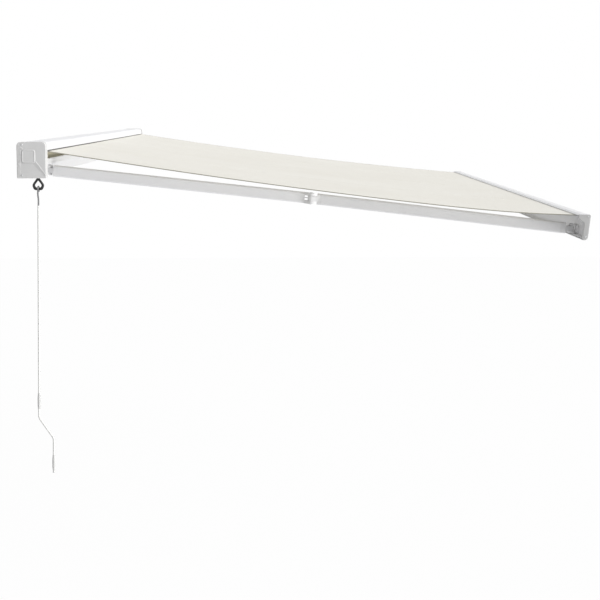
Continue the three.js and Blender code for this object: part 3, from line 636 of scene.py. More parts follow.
def sheet_between(name, columns, rows, low, high, material):
    """A thin closed sheet: columns are X places, rows are shares of the run."""
    across = len(columns)
    top = [cover_place(x, share, high(x, share)) for share in rows for x in columns]
    bottom = [cover_place(x, share, low(x, share)) for share in rows for x in columns]
    shift = len(top)
    faces = []
    for row in range(len(rows) - 1):
        for column in range(across - 1):
            a = row * across + column
            quad = (a, a + 1, a + across + 1, a + across)
            faces.append(tuple(reversed(quad)))
            faces.append(tuple(index + shift for index in quad))
    rim = list(range(across))
    rim += [row * across + across - 1 for row in range(1, len(rows))]
    rim += [(len(rows) - 1) * across + column for column in range(across - 2, -1, -1)]
    rim += [row * across for row in range(len(rows) - 2, 0, -1)]
    for index, a in enumerate(rim):
        b = rim[(index + 1) % len(rim)]
        faces.append((a, b, b + shift, a + shift))
    obj = reworked(mesh_object(name, top + bottom, faces, material), face_outward)
    smooth_by_angle(obj, 50)
    return obj


def swollen_strip(name, columns, rows, swell, material=CLOTH, under=1.0):
    """A closed strip round the sheet, which swells above it, and under it by a share of that."""
    return sheet_between(
        name, columns, rows,
        lambda x, share: -HALF_SHEET - under * swell(x, share),
        lambda x, share: HALF_SHEET + swell(x, share),
        material,
    )


def dome(place, power):
    """A rounded rise and fall, for a place that runs from 0 to 1."""
    return math.sqrt(max(0, 1 - (2 * place - 1) ** power))


def stitch_row(name, places):
    """Short threads that lie on the cloth along a run of points."""
    vertices = []
    faces = []
    for here, there in zip(places[::2], places[1::2]):
        along = (there - here).normalized() * STITCH_LENGTH / 2
        middle = (here + there) / 2
        side = along.cross(Vector((0, 0, 1))).normalized() * STITCH_WIDTH / 2
        up = Vector((0, 0, STITCH_RISE))
        start = len(vertices)
        vertices += [
            middle - along, middle - along * 0.6 + side, middle + along * 0.6 + side,
            middle + along, middle + along * 0.6 - side, middle - along * 0.6 - side,
            middle - along * 0.5 + up, middle + along * 0.5 + up,
        ]
        ring = [start + index for index in range(6)]
        faces.append(tuple(reversed(ring)))
        faces += [(ring[0], ring[1], start + 6), (ring[1], ring[2], start + 7, start + 6)]
        faces += [(ring[2], ring[3], start + 7), (ring[3], ring[4], start + 7)]
        faces += [(ring[4], ring[5], start + 6, start + 7), (ring[5], ring[0], start + 6)]
    obj = mesh_object(name, vertices, faces, THREAD)
    smooth_by_angle(obj, 60)
    return obj


def stitches_along(name, x, lift):
    """A row of stitches that runs from the roll to the front bar."""
    shares = steps_between(0.01, 0.985, 700)
    return stitch_row(name, [cover_place(x, share, HALF_SHEET + lift) for share in shares])


def side_trims(side, word):
    """The hem along one side in the cover's cloth, the narrow dark binding at its edge, and its stitches;
    the binding's dark colour is painted shade along the cover's edge.
    """
    inner = side * (COVER_HALF - HEM_WIDTH)
    edge = side * (COVER_HALF + HEM_OVERHANG)
    bound = (side * (COVER_HALF - BINDING_IN), side * (COVER_HALF + BINDING_OUT))
    rows = steps_between(0, 1, 150)

    def hem_swell(x, share):
        place = (x - inner) / (edge - inner)
        return HEM_SWELL * dome(place, 6) * min(1, 0.35 + place)

    def binding_swell(x, share):
        place = (x * side - COVER_HALF + BINDING_IN) / (BINDING_IN + BINDING_OUT)
        return BINDING_SWELL * dome(place, 4)

    return [
        swollen_strip(f"cover_hem_{word}", steps_between(*sorted((inner, edge)), 10), rows, hem_swell),
        swollen_strip(
            f"cover_binding_{word}", steps_between(*sorted(bound), 8), rows, binding_swell, SHADE_EDGE_CLOTH,
        ),
        stitches_along(f"hem_stitches_{word}", side * (COVER_HALF - HEM_WIDTH + 0.004), 0.0012),
    ]


def seam_trims(number, seam):
    """A lapped seam between two panels, with its two rows of stitches."""

    def lap(x, share):
        place = abs(x - seam) / (SEAM_WIDTH / 2)
        return SEAM_SWELL * math.sqrt(max(0, 1 - place ** 8))

    strip = sheet_between(
        f"cover_seam_{number}", steps_between(seam - SEAM_WIDTH / 2, seam + SEAM_WIDTH / 2, 6),
        steps_between(0, 1, 110), lambda x, share: 0.0, lambda x, share: HALF_SHEET + lap(x, share), CLOTH,
    )
    stitches = [
        stitches_along(f"seam_stitches_{number}_{row}", seam + offset, 0.0006)
        for row, offset in ((1, -0.005), (2, 0.005))
    ]
    return [strip, *stitches]


def front_trims():
    """The front hem, folded back from the groove, with its stitches."""
    hem_share = FRONT_HEM / COVER_RUN

    def fold(x, share):
        return FRONT_HEM_SWELL * dome(min(1, (1 - share) / hem_share), 8)

    hem = swollen_strip(
        "cover_hem_front", steps_between(-COVER_HALF + HEM_WIDTH, COVER_HALF - HEM_WIDTH, 150),
        steps_between(1 - hem_share, 1, 6), fold, under=0.5,
    )
    row_x = steps_between(-COVER_HALF + 0.03, COVER_HALF - 0.03, 940)
    places = [cover_place(x, 1 - hem_share * 0.75, HALF_SHEET + 0.0007) for x in row_x]
    return [hem, stitch_row("front_hem_stitches", places)]


def flatten_with_fold(obj):
    """Gives the piece its own copy of its mesh."""
    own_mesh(obj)


def cover():
    rows = steps_between(0, 1, 110)
    columns = steps_between(-COVER_HALF, COVER_HALF, 168)
    sheet = sheet_between(
        "cover_sheet", columns, rows, lambda x, share: -HALF_SHEET, lambda x, share: HALF_SHEET, CLOTH,
    )
    attach(sheet, "case", "cover_fabric", "canopy_cover")
    flatten_with_fold(sheet)
    trims = []
    for side, word in SIDES:
        trims += side_trims(side, word)
    for number, seam in enumerate(SEAMS, start=1):
        trims += seam_trims(number, seam)
    trims += front_trims()
    for trim in trims:
        attach(trim, "case", "cover_fabric")
        flatten_with_fold(trim)
    length = sum((cover_place(0, b) - cover_place(0, a)).length for a, b in zip(rows, rows[1:]))


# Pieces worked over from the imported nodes


def join_objects(name, objects, smooth=35):
    """Makes one piece of several, which keep their own materials."""
    bm = bmesh.new()
    materials = []
    for obj in objects:
        for slot in obj.material_slots:
            if slot.material not in materials:
                materials.append(slot.material)
    for obj in objects:
        first = len(bm.faces)
        bm.from_mesh(obj.data)
        bm.faces.ensure_lookup_table()
        for face in bm.faces[first:]:
            face.material_index = materials.index(obj.material_slots[face.material_index].material)
    mesh = mesh_from(name, bm)
    for obj in objects:
        bpy.data.objects.remove(obj)
    joined = placed(name, mesh, *materials)
    smooth_by_angle(joined, smooth)
    return joined


def stand_in(obj, node):
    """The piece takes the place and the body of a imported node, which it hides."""
    return attach(obj, BODY_OF[node], SLOT_OF[node], node)


def copy_of(node, name):
    return placed(name, frame["nodes"][node].data.copy())


def apply_modifiers(obj):
    graph = bpy.context.evaluated_depsgraph_get()
    mesh = bpy.data.meshes.new_from_object(obj.evaluated_get(graph))
    old = obj.data
    obj.modifiers.clear()
    obj.data = mesh
    bpy.data.meshes.remove(old)


def eased_copy(node, width):
    """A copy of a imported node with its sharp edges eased, as casting and painting leave them."""
    obj = reworked(copy_of(node, f"{node}_eased"), merge_seam)
    for polygon in obj.data.polygons:
        polygon.use_smooth = True
    bevel = obj.modifiers.new("edges", "BEVEL")
    bevel.width = width
    bevel.segments = 2
    bevel.limit_method = "ANGLE"
    bevel.angle_limit = math.radians(40)
    weight = obj.modifiers.new("normals", "WEIGHTED_NORMAL")
    weight.keep_sharp = False
    apply_modifiers(obj)
    return stand_in(obj, node)


# Sections run along X

SHORT_STEP = 0.004
HOLD = 0.0004


def extruded(name, outline, x0, x1, material, to_world=at, holes=()):
    """A section of (out, height) or (v, n) points, run along X; to_world places a point."""
    bm = bmesh.new()
    ends = []
    for x in (x0, x1):
        ends.append([[bm.verts.new(to_world(x, *point)) for point in loop] for loop in (outline, *holes)])
    for near, far in zip(*ends):
        count = len(near)
        for step in range(count):
            nxt = (step + 1) % count
            bm.faces.new((near[step], near[nxt], far[nxt], far[step]))
    for rings in ends:
        if holes:
            edges = [bm.edges.get(pair) for ring in rings for pair in zip(ring, ring[1:] + ring[:1])]
            bmesh.ops.triangle_fill(bm, use_beauty=True, use_dissolve=False, edges=edges)
        else:
            bm.faces.new(rings[0])
    face_outward(bm)
    obj = placed(name, mesh_from(name, bm), material)
    smooth_by_angle(obj, 30)
    return obj


def held(points):
    """Adds a point at each end of the longer steps of a closed run, so that flat faces shade flat."""
    result = []
    count = len(points)
    for index, here in enumerate(points):
        before = points[index - 1]
        after = points[(index + 1) % count]
        if (here - before).length > SHORT_STEP:
            result.append(here + (before - here).normalized() * HOLD)
        result.append(here)
        if (after - here).length > SHORT_STEP:
            result.append(here + (after - here).normalized() * HOLD)
    return result


def steadied(middle):
    """Adds a point at each end of the longer steps of an open run, so that flat faces shade flat."""
    result = [middle[0]]
    for here, there in zip(middle, middle[1:]):
        span = there - here
        if span.length > SHORT_STEP:
            result += [here + span.normalized() * HOLD, there - span.normalized() * HOLD]
        result.append(there)
    return result


def bent_sheet(name, middle, thickness, x0, x1, material, to_world=at):
    """A sheet of even thickness that follows an open run of points, run along X."""
    middle = steadied(middle)
    last = len(middle) - 1
    left = []
    right = []
    for index, here in enumerate(middle):
        inward = (here - middle[index - 1]).normalized() if index else (middle[1] - here).normalized()
        onward = (middle[index + 1] - here).normalized() if index < last else inward
        normal = Vector((-inward.y - onward.y, inward.x + onward.x)).normalized()
        side = normal * (thickness / 2 / normal.dot(Vector((-inward.y, inward.x))))
        left.append(here + side)
        right.append(here - side)
    outline = [*left, *reversed(right)]
    size = len(outline)
    vertices = [to_world(x, *point) for x in (x0, x1) for point in outline]
    faces = []
    for step in range(size):
        nxt = (step + 1) % size
        faces.append((step, nxt, nxt + size, step + size))
    for step in range(last):
        quad = (step, step + 1, size - 2 - step, size - 1 - step)
        faces.append(tuple(reversed(quad)))
        faces.append(tuple(index + size for index in quad))
    obj = reworked(mesh_object(name, vertices, faces, material), merge_seam, face_outward)
    smooth_by_angle(obj, 30)
    return obj


def inset_stack(name, outline, levels, place, material, smooth):
    """Stacks insets of one outline: levels are (inset, height), and place(height, point) puts each point."""
    rings = []
    for inset, height in levels:
        ring = offset_ring(outline, inset) if inset else outline
        rings.append([place(height, point) for point in ring])
    return sweep_rings(name, rings, material, smooth=smooth)


# Case profiles

CASE_BACK = 0.010
HOOD_TOP = 0.1865
HOOD_SHEET = 0.0024
CASE_SEAM = 0.0985
BASE_SHEET = 0.003
BASE_BOTTOM = 0.002
BASE_FRONT = 0.140
LOWER_FACE_TOP = 0.098
RECESS_TOP = 0.064
RECESS_BACK = 0.092
BRACKET_TOP = 0.162
PROFILE_END = HALF_WIDTH - CAP_LENGTH - FIT_GAP


def hood():
    """The hood's bent sheet, with the rib behind it that hooks over the wall brackets."""
    back = CASE_BACK + HOOD_SHEET / 2
    front = HOOD_FRONT - HOOD_SHEET / 2
    top = HOOD_TOP - HOOD_SHEET / 2
    line = rounded_corners(
        points_of((front, LIP_HEIGHT), (front, top), (back, top), (back, CASE_SEAM + FIT_GAP)),
        [0, CAP_TOP_RADIUS, CAP_TOP_RADIUS / 2, 0], 14,
    )
    shell = bent_sheet("hood_shell", line, HOOD_SHEET, -PROFILE_END, PROFILE_END, POWDER)
    hook = points_of(
        (CASE_BACK + 0.001, BRACKET_TOP + 0.006),
        (CASE_BACK - 0.004, BRACKET_TOP + 0.006),
        (CASE_BACK - 0.004, BRACKET_TOP - 0.008),
    )
    rib = bent_sheet("hood_rib", hook, 0.002, -PROFILE_END, PROFILE_END, POWDER)
    stand_in(join_objects("cassette_hood_shell", [shell, rib]), "cassette_hood")


def lower_case():
    """The lower profile in one bent sheet: front face, arm recess, floor and back."""
    half = BASE_SHEET / 2
    line = rounded_corners(
        points_of(
            (BASE_FRONT - 0.009, LOWER_FACE_TOP - 0.005),
            (BASE_FRONT - 0.005, LOWER_FACE_TOP - half),
            (BASE_FRONT - half, LOWER_FACE_TOP - half),
            (BASE_FRONT - half, RECESS_TOP + half),
            (RECESS_BACK - half, RECESS_TOP + half),
            (RECESS_BACK - half, BASE_BOTTOM + half),
            (CASE_BACK + half, BASE_BOTTOM + half),
            (CASE_BACK + half, CASE_SEAM),
        ),
        [0, 0, 0.003, 0.004, 0.004, 0.003, 0.003, 0], 6,
    )
    base = bent_sheet("cassette_base_shell", line, BASE_SHEET, -PROFILE_END, PROFILE_END, POWDER)
    stand_in(base, "cassette_base")


def hood_seal():
    """The seal clipped on the hood's lip, over the cover; its dark colour is painted shade for the shadow
    line under the lip.
    """
    section = rounded_corners(
        points_of((0.1466, 0.1396), (0.1512, 0.1388), (0.1512, 0.1440), (0.1501, 0.1440),
                  (0.1501, 0.1401), (0.1475, 0.1401), (0.1475, 0.1440), (0.1466, 0.1440)),
        [0.0004, 0.0012, 0.0004, 0, 0, 0, 0.0003, 0.0003], 4,
    )
    seal = extruded("hood_seal", section, -PROFILE_END, PROFILE_END, SHADE_SEAL)
    attach(seal, "case", "grey_plastic")


# End caps

BAND_RISE = 0.0026
RIB_WIDTH = 0.003
CAP_SCREW_OUT = 0.030
CAP_SCREW_MARGIN = 0.016


def stepped_plate(name, outline, levels, side, material, to_world=at):
    """A plate on one end of the awning: levels are (inset, depth below the end's outer face)."""

    def place(depth, point):
        return to_world(side * (HALF_WIDTH - depth), *point)

    return inset_stack(name, outline, levels, place, material, 32)


def cap_core(side, word):
    """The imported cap, cut off under its outer face, because that face is drawn afresh."""
    core = copy_of(f"end_cap_{word}", f"cap_shell_{word}")
    cut_x = side * (HALF_WIDTH - CAP_RELIEF - 0.0015)
    reworked(core, lambda bm: bmesh.ops.bisect_plane(
        bm, geom=bm.verts[:] + bm.edges[:] + bm.faces[:], plane_co=(cut_x, 0, 0),
        plane_no=(side, 0, 0), clear_outer=True,
    ))
    smooth_by_angle(core, 25)
    core.data.materials.clear()
    core.data.materials.append(CAP)
    return core


def cap_band(side, word):
    """The band stands proud along its upper edge and falls away to the skin below it."""
    skin = CAP_RELIEF
    low_near, high_near, high_far, low_far = points_of(
        (0.078, 0.085), (0.094, 0.099), (0.149, 0.024), (0.149, 0.006),
    )
    rows = []
    for share in steps_between(0, 1, 6):
        low = low_near.lerp(low_far, share)
        high = high_near.lerp(high_far, share)
        rise = BAND_RISE * min(1, 8 * (share + 0.02))
        levels = (
            (-0.02, skin + 0.0003), (0.04, skin - 0.0002), (0.5, skin - rise * 0.35),
            (0.86, skin - rise), (0.94, skin - rise), (1.02, skin + 0.0003),
        )
        rows.append([at(side * (HALF_WIDTH - depth), *low.lerp(high, across)) for across, depth in levels])
    return sweep_rings(f"cap_band_{word}", rows, CAP, smooth=25)


def end_cap(side, word):
    skin = CAP_RELIEF
    core = cap_core(side, word)
    outline = rounded_corners(
        points_of((CAP_FRONT, 0), (CAP_FRONT, CAP_HEIGHT), (CAP_BACK, CAP_HEIGHT), (CAP_BACK, 0)),
        [0.005, CAP_TOP_RADIUS, CAP_TOP_RADIUS, 0.005], 12,
    )
    face = stepped_plate(f"cap_face_{word}", held(outline), [
        (0, skin + 0.0016), (0, skin + 0.0012), (0.0004, skin + 0.0004), (0.0012, skin),
    ], side, CAP)
    boss_line = rounded_corners(
        points_of((0.030, 0.079), (0.098, 0.079), (0.098, 0.147), (0.030, 0.147)), [0.012] * 4, 8,
    )
    boss = stepped_plate(f"cap_boss_{word}", boss_line, [
        (-0.0022, skin + 0.0002), (-0.0012, skin - 0.0004), (0.0, skin - 0.0018),
        (0.0012, skin - 0.0027), (0.0028, 0.0002), (0.0042, 0.0), (0.0052, 0.0004),
        (0.0062, 0.0009), (0.0075, 0.0009),
    ], side, CAP)
    band = cap_band(side, word)
    ribs = []
    for number, out in enumerate((0.008, 0.014, 0.020), start=1):
        far = out + RIB_WIDTH
        rib_line = rounded_corners(
            points_of((out, 0.008), (far, 0.008), (far, 0.167), (out, 0.167)), [0.0013] * 4, 4,
        )
        ribs.append(stepped_plate(f"cap_rib_{word}_{number}", rib_line, [
            (0, skin + 0.0002), (0.0002, skin - 0.0006), (0.0008, skin - 0.001),
        ], side, CAP))

    # A faint fold runs from the boss up to the rear corner
    fold_line = rounded_corners(
        points_of((0.012, 0.170), (0.016, 0.175), (0.036, 0.150), (0.031, 0.146)), [0.001] * 4, 3,
    )
    fold = stepped_plate(f"cap_fold_{word}", fold_line, [
        (0, skin + 0.0002), (0.0004, skin - 0.0006), (0.0008, skin - 0.0008),
    ], side, CAP)
    whole = join_objects(f"end_cap_shell_{word}", [core, face, boss, band, fold, *ribs], smooth=28)
    stand_in(whole, f"end_cap_{word}")

    for number, height in ((1, CAP_HEIGHT - CAP_SCREW_MARGIN), (2, CAP_SCREW_MARGIN)):
        seat = at(side * (HALF_WIDTH - skin), CAP_SCREW_OUT, height)
        stand_in(pan_screw(f"cap_screw_head_{word}_{number}", seat, side), f"cap_screw_{word}_{number}")


def pan_screw(name, centre, side):
    """A pan-headed screw with a cross recess, driven in along X."""
    outward = Vector((side, 0, 0))
    profile = [(0.0042, -0.0003), (0.0042, 0.0006), (0.0040, 0.0013), (0.0034, 0.0020), (0.0024, 0.0025),
               (0.0016, 0.0026)]
    rings = [ring_loop(centre + outward * lift, Vector((0, 1, 0)), Vector((0, 0, 1)), radius, 24)
             for radius, lift in profile]
    cross = []
    for step in range(24):
        angle = 2 * math.pi * step / 24
        reach = 0.0015 if step % 6 == 0 else (0.0011 if step % 6 in (1, 5) else 0.0005)
        cross.append(Vector((0, reach * math.cos(angle), reach * math.sin(angle))))
    rings.append([centre + outward * 0.0026 + spot for spot in cross])
    rings.append([centre + outward * 0.0012 + spot * 0.8 for spot in cross])
    head = sweep_rings(f"{name}_top", rings, ZINC)
    shank = tube_along(
        f"{name}_shank", [centre + outward * -0.0002, centre + outward * -0.014, centre + outward * -0.016],
        [0.0021, 0.0021, 0.0012], ZINC, sides=12,
    )
    return join_objects(name, [head, shank])


# Gear eye and worm

EYE_SIDES = 96
EYE_PROFILE_SIDES = 16
EYE_HALF_THICK = 0.0055


def ray_reach(outline, centre, angle):
    """How far a ray from the centre runs before it meets a closed outline."""
    ray = Vector((math.cos(angle), math.sin(angle)))
    best = 0
    for a, b in zip(outline, outline[1:] + outline[:1]):
        edge = b - a
        cross = ray.x * edge.y - ray.y * edge.x
        if abs(cross) < 1e-12:
            continue
        away = a - centre
        along = (away.x * edge.y - away.y * edge.x) / cross
        share = (away.x * ray.y - away.y * ray.x) / cross
        if along > 0 and -1e-9 <= share <= 1 + 1e-9:
            best = max(best, along)
    return best


def eye_ring():
    """The moulded eye itself: a spade-shaped ring with a soft, squarish section."""
    centre = Vector((0, -0.034))
    outer = rounded_corners(
        points_of((-0.0075, -0.0008), (-0.0328, -0.037), (-0.0215, -0.0637),
                  (0.0215, -0.0637), (0.0328, -0.037), (0.0075, -0.0008)),
        [0.002, 0.021, 0.015, 0.015, 0.021, 0.002], 10,
    )
    hole = rounded_corners(
        points_of((0, -0.0125), (-0.018, -0.0365), (-0.0125, -0.0491), (0.0125, -0.0491), (0.018, -0.0365)),
        [0.002, 0.009, 0.007, 0.007, 0.009], 8,
    )
    rings = []
    for step in range(EYE_SIDES):
        angle = math.pi / 2 + 2 * math.pi * step / EYE_SIDES
        ray = Vector((math.cos(angle), math.sin(angle)))
        far = ray_reach(outer, centre, angle)
        near = ray_reach(hole, centre, angle)
        ring = []
        for index in range(EYE_PROFILE_SIDES):
            turn = 2 * math.pi * index / EYE_PROFILE_SIDES
            across = math.copysign(abs(math.cos(turn)) ** 0.75, math.cos(turn))
            through = math.copysign(abs(math.sin(turn)) ** 0.75, math.sin(turn))
            spot = centre + ray * ((far + near) / 2 + (far - near) / 2 * across)
            ring.append(at(EYE_X + EYE_HALF_THICK * through, WORM_OUT - spot.x, spot.y))
        rings.append(ring)
    return closed_skin("eye_loop", rings, BLACK)


def gear_eye():
    """The eye's ring on its shaft, with the worm above it."""
    loop = eye_ring()
    levels = [
        (-0.006, 0.0055), (0.0, 0.0055), (0.0795, 0.0055),
        (0.0805, 0.0060), (0.136, 0.0060), (0.1375, 0.0052),
    ]
    shaft = tube_along(
        "eye_shaft", [at(EYE_X, WORM_OUT, height) for height, _ in levels],
        [radius for _, radius in levels], BLACK, 24,
    )
    thread = worm_thread("worm_thread", BLACK)
    stand_in(join_objects("gear_eye_moulded", [loop, shaft, thread]), "gear_eye")


def worm_thread(name, material):
    """One start of thread with sloping flanks, wound round the shaft beside the wheel."""
    pitch = 0.009
    turns = 5.8
    low = 0.0835
    per_turn = 28
    count = int(turns * per_turn)
    rings = []
    for step in range(count + 1):
        angle = 2 * math.pi * step / per_turn
        height = low + pitch * step / per_turn
        fade = min(1, step / 10, (count - step) / 10)
        tip = 0.0058 + 0.0026 * fade
        ray = Vector((math.cos(angle), math.sin(angle)))
        ring = []
        for radius, lift in ((0.0055, -0.0030), (tip, -0.0010), (tip, 0.0010), (0.0055, 0.0030)):
            ring.append(at(EYE_X + ray.x * radius, WORM_OUT - ray.y * radius, height + lift))
        rings.append(ring)
    return sweep_rings(name, rings, material, smooth=30)


# Crank

HOOK_RADIUS = 0.0042
HOOK_INNER_RADIUS = 0.0093
CRANK_RADIUS = 0.0055
CRANK_TOP = -0.144
BEND_TOP = -1.275
BEND_BOTTOM = -1.385
BEND_RADIUS = 0.040
GRIP_BORE = 0.0058
GRIP_TAPER = 0.026
GRIP_RADIUS = 0.0064
GRIP_SWELL = 0.0018
GRIP_RING_DEPTH = 0.00035


def smooth_path(points, steps):
    """A smooth run through a list of points (Catmull-Rom)."""
    result = []
    last = len(points) - 1
    for index in range(last):
        p0 = points[max(index - 1, 0)]
        p1 = points[index]
        p2 = points[index + 1]
        p3 = points[min(index + 2, last)]
        for step in range(steps):
            t = step / steps
            result.append(0.5 * (
                2 * p1 + (p2 - p0) * t + (2 * p0 - 5 * p1 + 4 * p2 - p3) * t * t
                + (3 * p1 - p0 - 3 * p2 + p3) * t * t * t
            ))
    result.append(points[-1])
    return result


def crank_hook(hang):
    """A bent rod: over the eye's lower rim and back to the line of the crank."""
    radius = HOOK_RADIUS
    reach = HOOK_INNER_RADIUS + radius
    lift = 0.0012
    points = [Vector((reach, 0, -0.015)), Vector((reach, 0, -0.008))]
    for step in range(13):
        angle = math.pi * step / 12
        points.append(Vector((reach * math.cos(angle), 0, lift + reach * math.sin(angle))))
    for share, drop in ((1, -0.009), (1, -0.018), (0.94, -0.026), (0.7, -0.035), (0.3, -0.044),
                        (0.06, -0.053), (0, -0.061)):
        points.append(Vector((-reach * share, 0, drop)))
    points.append(Vector((0, 0, -0.085)))
    points.append(Vector((0, 0, -0.172 - HOOK_HEIGHT)))
    path = smooth_path(points, 4)
    radii = [radius * min(1, 0.55 + 0.15 * index) for index in range(len(path))]
    hook = tube_along("crank_hook_rod", [hang @ point for point in path], radii, HOOK_STEEL, 20)
    stand_in(hook, "crank_hook")


def crank_tube(hang):
    """The painted tube, with a rolled groove near its top end and the two bends that offset its foot."""
    line = rounded_corners(
        points_of((0, CRANK_TOP), (0, BEND_TOP), (CRANK_OFFSET, BEND_BOTTOM), (CRANK_OFFSET, CRANK_BOTTOM)),
        [0, BEND_RADIUS, BEND_RADIUS, 0], 16,
    )
    for place, drop in enumerate((0.0008, 0.004, 0.018, 0.026), start=1):
        line.insert(place, line[0] + Vector((0, -drop)))
    line.insert(len(line) - 1, line[-1] + Vector((0, 0.001)))
    radii = [CRANK_RADIUS] * len(line)
    radii[:5] = [0.0046, 0.0050, 0.0051, 0.0051, CRANK_RADIUS]
    radii[-1] = 0.0051
    places = [hang @ Vector((0, -point.x, point.y - HOOK_HEIGHT)) for point in line]
    stand_in(tube_along("crank_tube_painted", places, radii, ROD, 24), "crank_tube")


def crank_plug(hang):
    """The domed plug in the tube's lower end."""
    levels = [
        (0.0, 0.0052), (-0.0003, 0.0064), (-0.0012, 0.0068),
        (-0.0024, 0.0064), (-0.0031, 0.0045), (-0.0034, 0.0015),
    ]
    places = [hang @ Vector((0, -CRANK_OFFSET, CRANK_BOTTOM + lift - HOOK_HEIGHT)) for lift, _ in levels]
    cap = tube_along("crank_plug_cap", places, [size for _, size in levels], GREY, 24)
    stand_in(cap, "crank_end_plug")


def crank():
    """Hook, tube, two grips and plug, all on the line in which the crank hangs."""
    hang = Matrix.Translation(at(EYE_X, WORM_OUT, HOOK_HEIGHT)) @ Matrix.Rotation(CRANK_HANG, 4, "X")
    crank_hook(hang)
    crank_tube(hang)
    for word, top, out in (("upper", GRIP_UPPER_TOP, 0), ("lower", GRIP_LOWER_TOP, CRANK_OFFSET)):
        stand_in(grip(f"grip_sleeve_{word}", hang, top, out), f"crank_grip_{word}")
    crank_plug(hang)


def grip(name, hang, top, out):
    """A moulded sleeve: long tapered ends, a swollen middle with shallow rings at each end of it."""
    profile = [(0, GRIP_BORE), (0.0, 0.0061)]
    for along in steps_between(0, GRIP_LENGTH, 64):
        near = min(along, GRIP_LENGTH - along)
        ease = 0.5 - 0.5 * math.cos(math.pi * min(1, near / GRIP_TAPER))
        ring = GRIP_RING_DEPTH * sum(math.exp(-((near - place) / 0.0007) ** 2) for place in (0.028, 0.031))
        profile.append((along, GRIP_RADIUS + GRIP_SWELL * ease - ring))
    profile.append((GRIP_LENGTH, GRIP_BORE))
    rings = []
    for along, radius in profile:
        centre = Vector((0, -out, top - along - HOOK_HEIGHT))
        loop = ring_loop(centre, Vector((1, 0, 0)), Vector((0, 1, 0)), radius, 28)
        rings.append([hang @ point for point in loop])
    return closed_skin(name, rings, GRIP)


# Arms

ARM_RUN = math.sqrt(ARM_LENGTH ** 2 - LATERAL ** 2)
FOLD_ANGLE = math.asin(OPEN_REACH / 2 / ARM_LENGTH) - math.asin(LATERAL / ARM_LENGTH)
ARM_HALF_WIDE = 0.018
ARM_HALF_HIGH = 0.030
ARM_CORNER = 0.009
ARM_SHEET = 0.003
ARM_START = 0.060
UPPER_LINE = -0.014
FORE_LINE = -0.021
PLUG_LENGTH = 0.030
SPRING_LENGTH = 0.410
SPRING_RADIUS = 0.009
SPRING_WIRE = 0.002
CABLE_RADIUS = 0.002
CABLE_LAY = 0.016
CHEEK_TOP = 0.025
PIN_RADIUS = 0.006
PIN_HEAD_RADIUS = 0.009
CHEEK_RADIUS = 0.027


def arm_frames(side):
    """The places of a shoulder pin, an upper arm and a forearm, with the awning open."""
    reach = -side
    shoulder = Matrix.Translation(at(side * (HALF_WIDTH - ARM_INSET), SHOULDER_OUT, SHOULDER_HEIGHT))
    shoulder = shoulder @ Matrix.Rotation(SLOPE, 4, "X")
    upper = shoulder @ Matrix.Rotation(-reach * FOLD_ANGLE, 4, "Z")
    elbow = upper @ Matrix.Translation((reach * ARM_RUN, -LATERAL, 0))
    forearm = elbow @ Matrix.Rotation(2 * reach * FOLD_ANGLE, 4, "Z")
    return shoulder, upper, elbow, forearm


def bar_frame(x):
    return Matrix.Translation(at(x, WRIST_OUT, WRIST_HEIGHT)) @ Matrix.Rotation(SLOPE, 4, "X")


def arm_section(line):
    """The arm's tube: rounded corners, with two fine extrusion lines along each side."""
    outer = []
    inner = []
    for turn in range(4):
        across = 1 if turn in (0, 3) else -1
        up = 1 if turn < 2 else -1
        centre = Vector((across * (ARM_HALF_WIDE - ARM_CORNER), up * (ARM_HALF_HIGH - ARM_CORNER)))
        outer += arc_points(centre, ARM_CORNER, 90 * turn, 90, 8)
        inner += arc_points(centre, ARM_CORNER - ARM_SHEET, 90 * turn, 90, 6)
        if turn in (1, 3):
            # The flat side that follows, marked near each of its corners
            for level in (up * 0.0165, -up * 0.0165):
                outer += [
                    Vector((across * ARM_HALF_WIDE, level + up * 0.0008)),
                    Vector((across * (ARM_HALF_WIDE - 0.0005), level)),
                    Vector((across * ARM_HALF_WIDE, level - up * 0.0008)),
                ]
    shift = Vector((line, 0))
    return held([point + shift for point in outer]), [point + shift for point in inner]


def arm_tube(name, frame_matrix, x0, x1, line):
    outer, inner = arm_section(line)
    return extruded(
        name, outer, x0, x1, POWDER,
        to_world=lambda x, v, n: frame_matrix @ Vector((x, v, n)), holes=[inner],
    )


def pivot_pin(name, frame_matrix, half):
    """A turned pin: domed head above, chamfered foot with a snap ring below."""
    seat = half + FIT_GAP
    foot = -half - 0.0026
    profile = [
        (foot, 0.0045), (foot + 0.0008, PIN_RADIUS - 0.0003), (-half - 0.0012, PIN_RADIUS - 0.0003),
        (-half - 0.0012, PIN_RADIUS - 0.0009), (-half - 0.0002, PIN_RADIUS - 0.0009),
        (-half - 0.0002, PIN_RADIUS), (seat, PIN_RADIUS), (seat, PIN_HEAD_RADIUS - 0.0003),
        (seat + 0.0003, PIN_HEAD_RADIUS),
        (seat + 0.0013, PIN_HEAD_RADIUS), (seat + 0.0020, PIN_HEAD_RADIUS - 0.0007),
        (seat + 0.0024, PIN_HEAD_RADIUS - 0.0024), (seat + 0.0025, 0.0028),
    ]
    rings = [
        [frame_matrix @ point for point in ring_loop(
            Vector((0, 0, height)), Vector((1, 0, 0)), Vector((0, 1, 0)), radius, 36)]
        for height, radius in profile
    ]
    body = sweep_rings(f"{name}_body", rings, ZINC, smooth=30)
    middle = -half - 0.0007
    loop = [frame_matrix @ Vector((0.0062 * math.cos(a), 0.0062 * math.sin(a), middle))
            for a in (math.radians(20 + 320 * step / 28) for step in range(29))]
    snap = tube_along(f"{name}_snap_ring", loop, [0.00055] * len(loop), SPRING_STEEL, 8)
    return join_objects(name, [body, snap])


